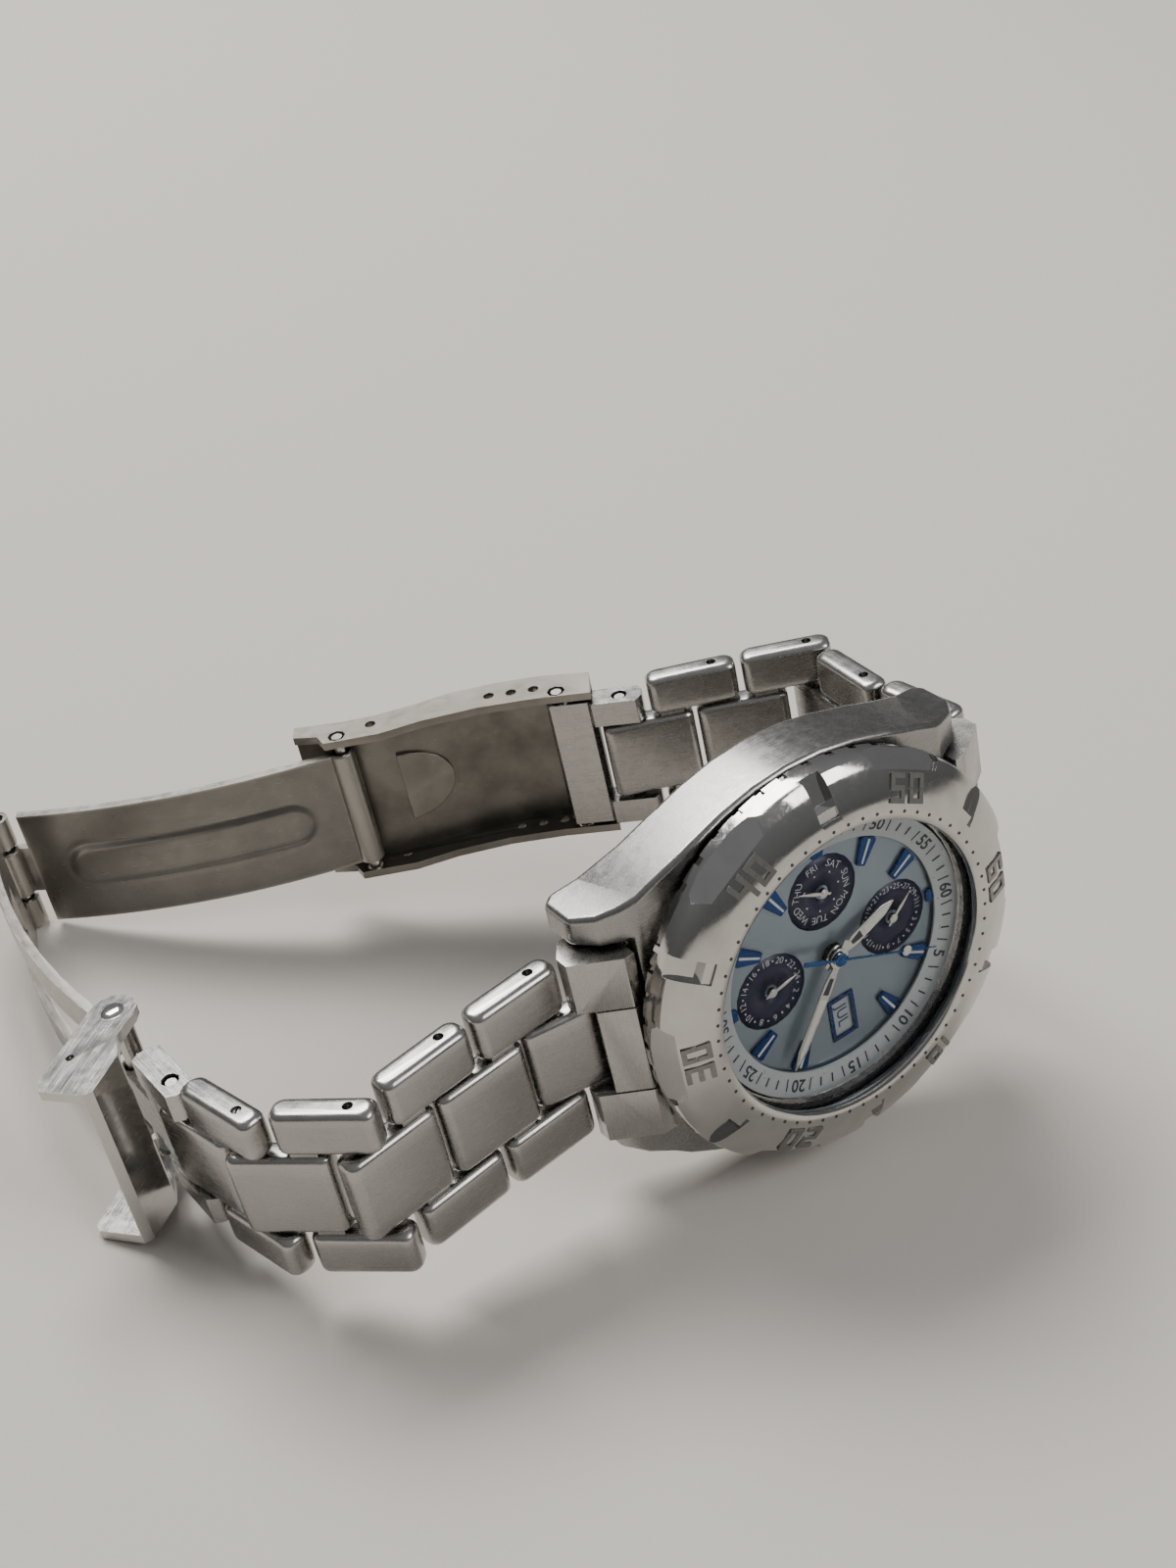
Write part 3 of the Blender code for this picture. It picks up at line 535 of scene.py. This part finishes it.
def refined(node, material, matrix=HEAD, width=0.22, segments=3, angle=35, chosen=None,
            holes=()):
    """The node's own shape with its edges rounded and `holes` cut, in its local frame.

    `chosen` picks the edges, from their two ends in millimetres; without it, all sharp ones are.
    """
    mesh, shell = own_shape(node, matrix)
    bmesh.ops.dissolve_limit(shell, angle_limit=math.radians(0.6), verts=shell.verts,
                             edges=shell.edges)
    if chosen:
        weights = shell.edges.layers.float.new("bevel_weight_edge")
        for edge in shell.edges:
            ends = [vertex.co / MM for vertex in edge.verts]
            sharp = len(edge.link_faces) == 2 and edge.calc_face_angle() > math.radians(angle)
            edge[weights] = 1.0 if sharp and chosen(*ends) else 0.0
    shell.to_mesh(mesh)
    shell.free()
    obj = new_object(node + "_fine", mesh, material)
    if holes:
        obj = cut(obj, holes)
    obj.data.shade_smooth()
    bevel(obj, width, segments, angle)
    if chosen:
        obj.modifiers["round_edges"].limit_method = "WEIGHT"
        obj.modifiers["round_edges"].use_clamp_overlap = False
    normals = obj.modifiers.new("flat_faces", "WEIGHTED_NORMAL")
    normals.keep_sharp = True
    normals.weight = 80
    return place(obj, node, matrix, replace=True)


# ---------------------------------------------------------------- dial
def small_centres():
    return {"date": (0, SUBDIAL_OFFSET), "day": (-SUBDIAL_OFFSET, 0),
            "hour24": (0, -SUBDIAL_OFFSET)}


def build_dial():
    dress(NODES["dial"].data, dial_lacquer("dial_lacquer"))
    silver_ring = paint("chapter_ring_silver", (0.50, 0.55, 0.57), 0.32, 0.5, 0.1)
    ring = turned("ring", [(RING_INNER_R, RING_LOW), (RING_INNER_R + 0.12, -0.06),
                           (DIAL_R, RING_HIGH), (DIAL_R, -0.3), (RING_INNER_R, -0.3)])
    place(smooth(new_object("chapter_ring_fine", ring, silver_ring)), "chapter_ring", replace=True)
    build_ring_print()
    build_small_dials()
    build_indices()
    build_month_window()


def ring_matrix(angle, radius):
    """A place just over the chapter ring's slope, with +Y pointing outwards."""
    rise = (RING_HIGH - RING_LOW) / (DIAL_R - RING_INNER_R)
    height = RING_LOW + (radius - RING_INNER_R) * rise + 0.02
    return clockwise(angle) @ move(0, radius, height) @ Matrix.Rotation(math.atan(rise), 4, "X")


def build_ring_print():
    ink = paint("ring_ink", (0.03, 0.035, 0.05), 0.5)
    marks = []
    for minute in range(60):
        angle = 6.0 * minute
        if minute % 5 in (1, 4):
            continue
        if minute % 5:
            bar = plate(rectangle(-0.09, 0.09, -0.45, 0.45), 0.0, 0.015)
            marks.append((bar, ring_matrix(angle, 13.25)))
        else:
            marks.append((words(str(minute or 60), 1.7, bold=0.035), ring_matrix(angle, 13.2)))
            for side in (-1, 1):
                bar = plate(rectangle(-0.08, 0.08, -0.6, 0.6), 0.0, 0.015)
                marks.append((bar, ring_matrix(angle, 13.2) @ move(1.45 * side, -0.07)))
    place(new_object("chapter_ring_print", joined("ring_print", marks), ink), "chapter_ring")


def build_small_dials():
    navy = paint("subdial_navy", (0.012, 0.014, 0.05), 0.38, 0.2, 0.2)
    white = paint("subdial_print", (0.72, 0.74, 0.76), 0.5)
    days = ("SUN", "MON", "TUE", "WED", "THU", "FRI", "SAT")
    discs, marks = [], []
    for key, (x, y) in small_centres().items():
        rim, hole, top, low = SUBDIAL_R - 0.03, 0.55, SUBDIAL_TOP + 0.03, SUBDIAL_TOP - 0.01
        disc = turned("disc", [(hole, top), (rim, top), (rim, low), (hole, low)], 64)
        discs.append((disc, move(x, y)))
        if key == "day":
            items = [(day, 360 / 7 * i, 2.8, 1.05) for i, day in enumerate(days)]
            dots = [(360 / 7 * i, 2.0) for i in range(7)]
        elif key == "date":
            items = [(str(n), 360 / 31 * n, 3.15, 0.85) for n in range(1, 32, 2)]
            dots = [(360 / 31 * n, 3.2) for n in range(2, 31, 2)]
        else:
            items = [(str(n), 15.0 * n, 3.1, 0.95) for n in range(2, 25, 2)]
            dots = [(15.0 * n, 3.15) for n in range(1, 25, 2)]
        for text, angle, radius, size in items:
            seat = move(x, y, SUBDIAL_TOP + 0.045) @ clockwise(angle) @ move(0, radius)
            marks.append((words(text, size, bold=-0.014), seat))
        for angle, radius in dots:
            seat = move(x, y, SUBDIAL_TOP + 0.04) @ clockwise(angle) @ move(0, radius)
            marks.append((dot(0.1, 0.01), seat))
    place(new_object("subdial_grounds", joined("grounds", discs), navy), "dial")
    place(new_object("subdial_marks", joined("marks", marks), white), "dial")


def build_indices():
    """Applied blue markers, the long ones with a pale line down the middle."""
    blue = paint("index_blue", (0.01, 0.05, 0.19), 0.16, 0.8, 0.1)
    white = paint("index_lume", (0.74, 0.77, 0.76), 0.5)
    blocks, lines = [], []
    for hour in range(1, 13):
        if hour == 3:
            continue
        short = hour in (6, 9, 12)
        inner, outer = (11.25, 12.0) if short else (8.9, 11.8)
        narrow, wide = (0.6, 0.75) if short else (0.5, 0.95)
        outline = [(-narrow, inner), (narrow, inner), (wide, outer - 0.25), (wide - 0.2, outer),
                   (0.2 - wide, outer), (-wide, outer - 0.25)]
        turn = clockwise(30.0 * hour)
        blocks.append((plate(outline, DIAL_TOP, DIAL_TOP + 0.32), turn))
        if not short:
            line = [(-0.1, inner + 0.25), (0.1, inner + 0.25), (0.13, outer - 0.2),
                    (-0.13, outer - 0.2)]
            lines.append((plate(line, DIAL_TOP + 0.3, DIAL_TOP + 0.37), turn))
    obj = new_object("hour_markers", joined("markers", blocks), blue)
    place(bevel(smooth(obj), 0.08, 2), "dial")
    place(new_object("hour_marker_lines", joined("marker_lines", lines), white), "dial")


def build_month_window():
    blue = paint("window_blue", (0.02, 0.05, 0.16), 0.25, 0.7)
    pale = paint("window_pale", (0.42, 0.47, 0.50), 0.45)
    ink = paint("window_ink", (0.02, 0.03, 0.07), 0.5)
    low = DIAL_TOP
    bars = [rectangle(5.1, 9.9, 1.1, 1.5), rectangle(5.1, 9.9, -1.5, -1.1),
            rectangle(5.1, 5.5, -1.1, 1.1), rectangle(9.5, 9.9, -1.1, 1.1)]
    window = joined("window_frame", [(plate(bar, low, low + 0.16), SAME) for bar in bars])
    place(new_object("month_window_frame", window, blue), "dial")
    disc = plate(rectangle(5.42, 9.58, -1.08, 1.08), low - 0.13, low - 0.1)
    place(new_object("month_disc", disc, pale), "dial")
    month = joined("month", [(words("JUL", 1.75), move(7.5, 0, low - 0.08))])
    place(new_object("month_name", month, ink), "dial")


# ---------------------------------------------------------------- hands
def hand_shape(stations, shrink=0.0):
    """Outline of a symmetric hand along +Y, from (distance, half width) stations."""
    right = [(max(half - shrink, 0.02), y) for y, half in stations]
    return right + [(-x, y) for x, y in reversed(right)]


def build_hand(node, centre, angle, stations, low, hub, material, inlays=()):
    """A bevelled hand with a round hub; inlays are (outline, material) laid on its face."""
    turn = move(*centre) @ clockwise(angle)
    hub_profile = [(0.0, low + 0.2), (hub * 0.55, low + 0.2), (hub * 0.62, low + 0.15),
                   (hub, low + 0.15), (hub, low), (0.0, low)]
    blade = joined(node, [(plate(hand_shape(stations), low, low + 0.13), turn),
                          (turned("hub", hub_profile, 40, ring=False), turn)])
    obj = new_object(node + "_fine", blade, material)
    place(bevel(smooth(obj), 0.04, 2), node, replace=True)
    for number, (outline, inlay_material) in enumerate(inlays):
        mesh = joined(node, [(plate(outline, low + 0.12, low + 0.15), turn)])
        place(new_object("%s_inlay_%d" % (node, number), mesh, inlay_material), node)


def build_hands():
    silver = polished("hand_silver", (0.66, 0.65, 0.62), 0.14)
    lume = paint("hand_lume", (0.80, 0.80, 0.74), 0.55)
    dark = paint("hand_slot", (0.03, 0.04, 0.05), 0.5)
    hour = [(-1.5, 0.35), (1.2, 0.45), (2.4, 0.72), (6.2, 0.62), (7.55, 0.08)]
    build_hand("hour_hand", (0, 0), HOUR_ANGLE, hour, 0.1, 1.3, silver,
               [(hand_shape([(3.6, 0.72), (6.1, 0.62), (7.2, 0.2)], 0.26), lume),
                (hand_shape([(1.9, 0.5), (3.2, 0.72)], 0.28), dark)])
    minute = [(-1.9, 0.3), (1.2, 0.38), (2.6, 0.62), (9.6, 0.52), (11.55, 0.06)]
    build_hand("minute_hand", (0, 0), MINUTE_ANGLE, minute, 0.4, 1.05, silver,
               [(hand_shape([(4.2, 0.6), (9.5, 0.52), (10.9, 0.2)], 0.24), lume),
                (hand_shape([(2.0, 0.5), (3.7, 0.6)], 0.27), dark)])
    blue = paint("second_blue", (0.015, 0.09, 0.26), 0.25, 0.7, 0.1)
    second = [(-4.5, 0.24), (-2.2, 0.24), (-1.6, 0.12), (8.0, 0.1), (11.95, 0.05)]
    build_hand("second_hand", (0, 0), SECOND_ANGLE, second, 0.7, 0.68, blue)
    turn = clockwise(SECOND_ANGLE) @ move(0, 8.2)
    ball = turned("ball", [(0.0, 0.9), (0.4, 0.86), (0.52, 0.8), (0.52, 0.72), (0.0, 0.72)], 32,
                  ring=False)
    place(smooth(new_object("second_hand_ball", joined("ball", [(ball, turn)]), lume)),
          "second_hand")
    small = [(-0.85, 0.12), (0.4, 0.16), (1.2, 0.2), (3.05, 0.03)]
    centres = small_centres()
    for node, key, angle in (("day_hand", "day", DAY_ANGLE), ("date_hand", "date", DATE_ANGLE),
                             ("hour24_hand", "hour24", HOUR24_ANGLE)):
        build_hand(node, centres[key], angle, small, -0.36, 0.46, silver)


# ---------------------------------------------------------------- bezel
def bezel_slope(radius):
    """Height of the bezel's sloping face."""
    return BEZEL_TOP - (radius - SLOPE_START_R) * SLOPE_FALL / SLOPE_RUN


def build_bezel():
    bright = polished("bezel_steel", (0.54, 0.53, 0.51), 0.07)
    profile = [(BEZEL_OPENING_R, 2.3), (14.85, 2.62), (15.2, 2.8), (15.6, BEZEL_TOP), (16.05, 2.82),
               (17.6, bezel_slope(17.6) + 0.08), (19.2, bezel_slope(19.2)), (19.9, 1.2),
               (20.35, 0.75), (BEZEL_OUTER_R, 0.2), (BEZEL_OUTER_R, -0.9), (20.2, -1.05),
               (20.2, -2.0), (20.05, BEZEL_BOTTOM), (BEZEL_BORE_R, BEZEL_BOTTOM),
               (BEZEL_BORE_R, 0.3), (17.5, 0.9), (17.5, 1.95), (15.6, 1.95), (15.5, 2.15),
               (BEZEL_OPENING_R, 2.15)]
    body = new_object("bezel_fine", turned("bezel", profile, 144), bright)
    tilt = Matrix.Rotation(math.radians(-48), 4, "X")
    quarter = Matrix.Rotation(math.radians(90), 4, "Z")
    upright = Matrix.Rotation(math.radians(90), 4, "X")
    step = 360.0 / NUMERALS
    cutters = []
    for i in range(NUMERALS):
        # a broad facet milled into the rim outside each numeral
        facet = plate([(-4.7, 0.1), (-3.7, -1.3), (3.7, -1.3), (4.7, 0.1), (3.7, 1.25),
                       (-3.7, 1.25)], -0.85, 4.0)
        cutters.append((facet, clockwise(step * i) @ move(0, 20.2, 0.85) @ tilt))
        # a radial pocket half-way to the next numeral, shallow over the bore and deep outside it
        pocket = plate([(16.7, 2.36), (17.6, 2.16), (17.9, 1.35), (23.0, -0.9), (23.0, 5.0),
                        (16.7, 5.0)], -1.05, 1.05)
        cutters.append((pocket, clockwise(step * i + step / 2) @ quarter @ upright))
    for i in range(48):
        # gaps that leave a row of blocks along the lower edge
        gap = plate(rectangle(-0.4, 0.4, 19.85, 21.5), -3.0, -1.3)
        cutters.append((gap, clockwise(7.5 * i + 3.75)))
    body = cut(body, cutters)
    place(bevel(smooth(body, 28), 0.13, 3, 30), "bezel", replace=True)
    build_bezel_marks()


# The strokes of each numeral, as on a seven-segment display
SEGMENTS = {"0": "ABCDEF", "1": "BC", "2": "ABGED", "3": "ABGCD", "4": "FGBC", "5": "AFGCD",
            "6": "AFGECD"}


def square_digits(text):
    """Squarish numerals out of straight strokes, centred on the local origin.

    Strokes that cross differ a little in height, so that no two faces lie in one plane.
    """
    wide, high, stroke, gap, thick = 1.75, 2.8, 0.5, 0.55, 0.12
    half, up = wide / 2, high / 2
    bars = {"A": (-half, half, up - stroke, up), "D": (-half, half, -up, stroke - up),
            "G": (-half, half, -stroke / 2, stroke / 2), "F": (-half, stroke - half, 0, up),
            "B": (half - stroke, half, 0, up), "E": (-half, stroke - half, -up, 0),
            "C": (half - stroke, half, -up, 0)}
    pieces = []
    for number, digit in enumerate(text):
        shift = move((number - (len(text) - 1) / 2) * (wide + gap), 0)
        for lift, segment in enumerate(SEGMENTS[digit]):
            pieces.append((plate(rectangle(*bars[segment]), -0.3, thick - 0.002 * lift), shift))
    return joined("digits", pieces)


def build_bezel_marks():
    matte = paint("bezel_numeral_matte", (0.27, 0.265, 0.25), 0.4, 1.0, 0.4)
    ink = paint("bezel_dots", (0.03, 0.03, 0.03), 0.5)
    lean = Matrix.Rotation(-math.atan(SLOPE_FALL / SLOPE_RUN), 4, "X")
    numerals, dots = [], []
    for i in range(NUMERALS):
        height = bezel_slope(NUMERAL_R) + 0.04
        seat = clockwise(360.0 / NUMERALS * i) @ move(0, NUMERAL_R, height) @ lean
        numerals.append((square_digits(str(10 * i or 60)), seat))
    for minute in range(60):
        dots.append((dot(0.17, 0.02), clockwise(6.0 * minute) @ move(0, 15.62, BEZEL_TOP)))
    obj = new_object("bezel_numerals", joined("numerals", numerals), matte)
    place(bevel(obj, 0.03, 1), "bezel")
    place(new_object("bezel_dots", joined("dots", dots), ink), "bezel")


# ---------------------------------------------------------------- case, bracelet and clasp
def on_case_rim(first, second):
    """Whether an edge of the case lies on its outside, away from its bores and lug holes."""
    def outside(point):
        from_bar = math.hypot(abs(point.y) - LUG_HOLE_Y, point.z - LUG_HOLE_Z)
        return math.hypot(point.x, point.y) > CASE_BORES_R and from_bar > 1.0
    return outside(first) and outside(second)


def build_end_links(material):
    """The fitted end pieces, with the two thin steps that divide each face into three."""
    groove = [(18.0, -3.3), (19.65, -3.3), (24.5, -6.8), (26.0, -6.8), (26.0, 0.0), (18.0, 0.0)]
    for label, side in (("6", -1), ("12", 1)):
        node = "end_link_" + label
        mesh, shell = own_shape(node, HEAD)
        shell.to_mesh(mesh)
        shell.free()
        upright = Matrix(((0, 0, side, 0), (side, 0, 0, 0), (0, 1, 0, 0), (0, 0, 0, 1)))
        cutters = [(plate(groove, x - 0.1, x + 0.1), upright)
                   for x in (-END_LINK_STEP, END_LINK_STEP)]
        obj = cut(new_object(node + "_fine", mesh, material), cutters)
        place(bevel(smooth(obj, 30), 0.08, 2), node, replace=True)


def build_case():
    satin = steel("case_satin", (0.29, 0.285, 0.275), 0.26, "Y", 0.35, 0.05)
    refined("case_body", satin, width=0.55, segments=4, angle=28, chosen=on_case_rim)
    back = steel("back_satin", (0.36, 0.355, 0.34), 0.3, "Y", 0.3, wear=1.0)
    refined("case_back", back, width=0.15)
    refined("crown", polished("crown_steel"), width=0.12, segments=2)
    grip = steel("end_link_satin", (0.35, 0.34, 0.325), 0.27, "X", 0.4)
    build_end_links(grip)
    dress(NODES["crystal"].data, glass("crystal_glass"))


def round_cutter(radius, high, low):
    profile = [(0.0, high), (radius, high), (radius, low), (0.0, low)]
    return turned("hole", profile, 20, ring=False)


def side_holes(obj, reach):
    """Open the pin holes in the outer faces of a link, which lie `reach` from its middle."""
    floor = reach - PIN_HOLE_DEPTH
    return cut(obj, [(round_cutter(PIN_HOLE_R, BEYOND, floor), SAME),
                     (round_cutter(PIN_HOLE_R, -floor, -BEYOND), SAME)])


def build_link(node, width, material):
    """Two outer bars and a middle bar set half a link further on."""
    start, end = -PIN_INSET, LINK_LENGTH - PIN_INSET
    inner = CENTRE_WIDTH / 2
    middle_start = start + LINK_LENGTH / 2 + 0.45
    parts = [(pillow(middle_start, PITCH + PIN_INSET, LINK_THICK, -inner, inner), SAME)]
    for sign in (-1, 1):
        low, high = sorted((sign * (inner + SIDE_GAP), sign * width / 2))
        parts.append((pillow(start, end, LINK_THICK, low, high), SAME))
        # a web inside the gap, which ties each outer bar to the middle one
        near, far = sorted((sign * (inner - 0.4), sign * (inner + SIDE_GAP + 0.4)))
        parts.append((plate(rectangle(middle_start + 0.9, end - 0.9, -0.9, 0.9), near, far), SAME))
    obj = side_holes(new_object(node + "_fine", joined(node, parts), material), width / 2)
    place(smooth(obj, 40), node, FRAMES[node], replace=True)


def build_bracelet():
    outer = steel("bracelet_satin", (0.36, 0.35, 0.335), 0.25, "X", 0.5, 0.12)
    pin = steel("pin_dark", (0.20, 0.19, 0.18), 0.35, "", 0.4)
    for label in ("6", "12"):
        node = "half_link_" + label
        half_bar = pillow(-1.5, HALF_LINK + PIN_INSET, LINK_THICK - 0.2, -CENTRE_WIDTH / 2,
                          CENTRE_WIDTH / 2)
        place(smooth(new_object(node + "_fine", half_bar, outer), 40), node, FRAMES[node],
              replace=True)
        for number in range(1, 5):
            node = "link_%s_%d" % (label, number)
            width = STRAP_WIDTH - STRAP_TAPER * (number - 1)
            build_link(node, width, outer)
            build_pin("pin_%s_%d" % (label, number), FRAMES[node], width / 2, pin,
                      slotted=node == "link_6_4")
        node = "clasp_end_link_" + label
        refined(node, outer, FRAMES[node], 0.3)


def build_pin(node, matrix, reach, material, slotted=False):
    """A link pin with domed ends set below the link's sides; one has a slotted screw head."""
    end = reach - (0.12 if slotted else 0.75)
    profile = [(0.0, end), (0.3, end - 0.02), (PIN_R, end - 0.15), (PIN_R, 0.15 - end),
               (0.3, 0.02 - end), (0.0, -end)]
    obj = new_object(node + "_fine", turned("pin", profile, 24, ring=False), material)
    if slotted:
        slot = plate(rectangle(-0.11, 0.11, -1.0, 1.0), end - 0.22, end + 1.0)
        obj = cut(obj, [(slot, Matrix.Rotation(0.6, 4, "Z"))])
    place(smooth(obj), node, matrix, replace=True)


def sheet(xs, zs, height, thick):
    """A pressed strip over a grid of (x, z), whose middle lies at height(x, z) along local Y."""
    points, faces = [], []
    rows, columns = len(xs), len(zs)
    for side in (1, -1):
        points += [(x * MM, (height(x, z) + side * thick / 2) * MM, z * MM) for x in xs for z in zs]
    under = rows * columns
    for i in range(rows - 1):
        for j in range(columns - 1):
            a = i * columns + j
            quad = (a, a + 1, a + columns + 1, a + columns)
            faces += [quad, tuple(under + k for k in reversed(quad))]
    rim = ([j for j in range(columns)] + [i * columns + columns - 1 for i in range(1, rows)]
           + [(rows - 1) * columns + j for j in range(columns - 2, -1, -1)]
           + [i * columns for i in range(rows - 2, 0, -1)])
    for a, b in zip(rim, rim[1:] + rim[:1]):
        faces.append((a, a + under, b + under, b))
    mesh = bpy.data.meshes.new("sheet")
    mesh.from_pydata(points, [], faces)
    return mesh


def steps(low, high, count):
    """Evenly spaced numbers from low to high, count + 1 of them."""
    return [low + (high - low) * i / count for i in range(count + 1)]


def knuckle(low, high):
    """The rolled tube of a hinge, along Z."""
    outer, inner = KNUCKLE_R, KNUCKLE_BORE_R
    return turned("tube", [(inner, high), (outer - 0.12, high), (outer, high - 0.12),
                           (outer, low + 0.12), (outer - 0.12, low), (inner, low)], 32)


def build_outer_blade(material):
    """The long blade, with a long oval pressed into it and a rolled tube at each end."""
    def height(x, z):
        # the blade's own bow, a stadium-shaped hollow and the raised rim round it
        bow = -4 * SAGITTA_A * x * (BLADE_A - x) / BLADE_A ** 2 + FOLD_LIFT * x / BLADE_A
        reach = math.hypot(max(abs(x - 18.0) - 11.0, 0.0), z)
        rim = math.exp(-((reach - 2.6) / 0.38) ** 2)
        hollow = 1 / (1 + math.exp((reach - 2.4) / 0.22))
        return bow - 0.28 * hollow + 0.12 * rim

    half = BLADE_WIDTH / 2
    blade = sheet(steps(0.9, BLADE_A - 2.4, 110), steps(-half, half, 56), height, BLADE_THICK)
    tongue = sheet(steps(BLADE_A - 2.6, BLADE_A - 0.9, 6), steps(-FOLD_HALF, FOLD_HALF, 8),
                   height, BLADE_THICK)
    parts = [(blade, SAME), (tongue, SAME), (knuckle(-half, half), SAME),
             (knuckle(-FOLD_HALF, FOLD_HALF), move(BLADE_A, 0))]
    node = "clasp_blade_outer"
    obj = smooth(new_object(node + "_fine", joined(node, parts), material), 40)
    place(obj, node, FRAMES[node], replace=True)


def build_cover_tab(material):
    """The D-shaped spring tab stamped in the cover's floor."""
    outline = [(3.0, -4.2), (3.0, 4.2)] + [(3.0 - 5.6 * math.sin(a), 4.2 * math.cos(a))
                                           for a in steps(0.25, math.pi - 0.25, 16)]
    obj = new_object("cover_tab", plate(outline, -0.2, 0.3), material)
    seat = (FRAMES["clasp_cover"] @ move(15.4, -2.2) @ Matrix.Rotation(math.radians(10.5), 4, "Z")
            @ Matrix.Rotation(math.radians(-90), 4, "X"))
    place(bevel(smooth(obj), 0.18, 3), "clasp_cover", seat)


def catch_matrix():
    """The safety catch's frame: X along its ears, Z across them."""
    turn = HEAD.to_3x3()
    along = turn @ Vector((0, -6.2, 4.7)).normalized()
    axes = Matrix((along, ACROSS.cross(along), ACROSS)).transposed().to_4x4()
    flip = Matrix.Rotation(math.pi, 4, "X")
    return Matrix.Translation(joint_point("catch_turn")) @ axes @ flip


def build_clasp():
    pressed = steel("clasp_pressed", (0.25, 0.24, 0.22), 0.32, "X", 0.5, 0.35)
    stained = steel("cover_stained", (0.24, 0.225, 0.20), 0.34, "X", 0.6, 0.75)
    refined("clasp_cover", stained, FRAMES["clasp_cover"], 0.15, 2)
    refined("clasp_blade_inner", pressed, FRAMES["clasp_blade_inner"], 0.12, 2)
    build_outer_blade(pressed)
    build_cover_tab(stained)
    bright = steel("catch_satin", (0.34, 0.335, 0.32), 0.2, "X", 0.3, 0.15)
    catch = catch_matrix()
    dimple = round_cutter(0.42, BEYOND, 8.6)
    refined("safety_catch", bright, catch, 0.2, 3, holes=[(dimple, move(6.4, -0.9))])
    dome = turned("rivet", [(0.0, 9.5), (0.6, 9.46), (1.0, 9.34), (1.15, 9.18), (1.15, 9.0),
                            (0.0, 9.0)], 32, ring=False)
    place(smooth(new_object("catch_rivet", dome, polished("rivet_steel"))), "catch_pin", catch)


def build_carried_over():
    """Materials for the plain inner pieces and pins."""
    pin = steel("pin_steel", (0.36, 0.35, 0.33), 0.28, "", 0.4, local=False)
    brass = steel("movement_brass", (0.66, 0.52, 0.26), 0.28, "X", 0.3, local=False)
    cream = paint("holder_plastic", (0.62, 0.60, 0.55), 0.5, 0.0, 0.1)
    finishes = {
        "movement_plate": brass, "centre_wheel": brass, "movement_holder": cream,
        "battery": steel("battery_steel", (0.58, 0.57, 0.55), 0.22, "", local=False),
        "drive_coil": steel("coil_copper", (0.60, 0.26, 0.12), 0.3, "Y", 0.8, local=False),
        "rotor": steel("rotor_steel", (0.30, 0.30, 0.31), 0.25, "Z", local=False),
        "back_gasket": paint("gasket_rubber", (0.015, 0.015, 0.015), 0.6),
        "crystal_gasket": paint("crystal_seal", (0.10, 0.11, 0.12), 0.4),
    }
    for name, obj in NODES.items():
        if obj.hide_render or name in ("dial", "crystal"):
            continue
        dress(obj.data, finishes.get(name, pin))
        smooth(obj)


# ---------------------------------------------------------------- stage
def area_light(name, location, size, energy, colour):
    """A rectangular lamp that looks at the origin."""
    data = bpy.data.lights.new(name, "AREA")
    data.shape = "RECTANGLE"
    data.size, data.size_y = size
    data.energy = energy
    data.color = colour
    lamp = bpy.data.objects.new(name, data)
    link(lamp)
    lamp.location = location
    lamp.rotation_euler = Vector(location).to_track_quat("Z", "Y").to_euler()


def build_stage():
    """A pale floor, a room that is lighter above, a window and a weaker fill."""
    bpy.ops.mesh.primitive_plane_add(size=30.0, location=(0, 0, 0))
    floor = bpy.context.object
    floor.name = "floor"
    shader = Shader("floor_cloth", (0.62, 0.585, 0.54), 0.0, 0.9)
    weave = shader.noise(1800, 2.0)
    shader.bump(weave, 0.15, 0.0002)
    floor.data.materials.append(shader.material)

    world = bpy.data.worlds.new("studio")
    bpy.context.scene.world = world
    world.use_nodes = True
    nodes, links = world.node_tree.nodes, world.node_tree.links
    coordinates = nodes.new("ShaderNodeTexCoord")
    split = nodes.new("ShaderNodeSeparateXYZ")
    ramp = nodes.new("ShaderNodeValToRGB")
    ramp.color_ramp.elements[0].position = 0.02
    ramp.color_ramp.elements[0].color = (0.22, 0.22, 0.225, 1)
    ramp.color_ramp.elements[1].position = 0.8
    ramp.color_ramp.elements[1].color = (0.50, 0.51, 0.53, 1)
    links.new(coordinates.outputs["Generated"], split.inputs["Vector"])
    links.new(split.outputs["Z"], ramp.inputs["Fac"])
    background = nodes["Background"]
    background.inputs["Strength"].default_value = 0.55
    links.new(ramp.outputs["Color"], background.inputs["Color"])

    area_light("window", (-0.45, 0.55, 0.95), (0.8, 0.5), 17.0, (1.0, 0.98, 0.95))
    area_light("fill", (0.75, -0.35, 0.75), (0.5, 0.5), 5.0, (1.0, 0.99, 0.97))


def build_camera():
    """The view of the photograph."""
    data = bpy.data.cameras.new("view")
    data.lens = VIEW_LENS
    data.sensor_width = SENSOR
    data.clip_start = 0.01
    camera = bpy.data.objects.new("view", data)
    link(camera)
    axes = (Vector(VIEW_RIGHT), Vector(VIEW_UP), -Vector(VIEW_AHEAD))
    turn = Matrix(axes).transposed().to_4x4()
    camera.matrix_world = HEAD @ Matrix.Translation(Vector(VIEW_PLACE) * MM) @ turn
    bpy.context.scene.camera = camera


build_dial()
build_hands()
build_bezel()
build_case()
build_bracelet()
build_clasp()
build_carried_over()
build_stage()
build_camera()
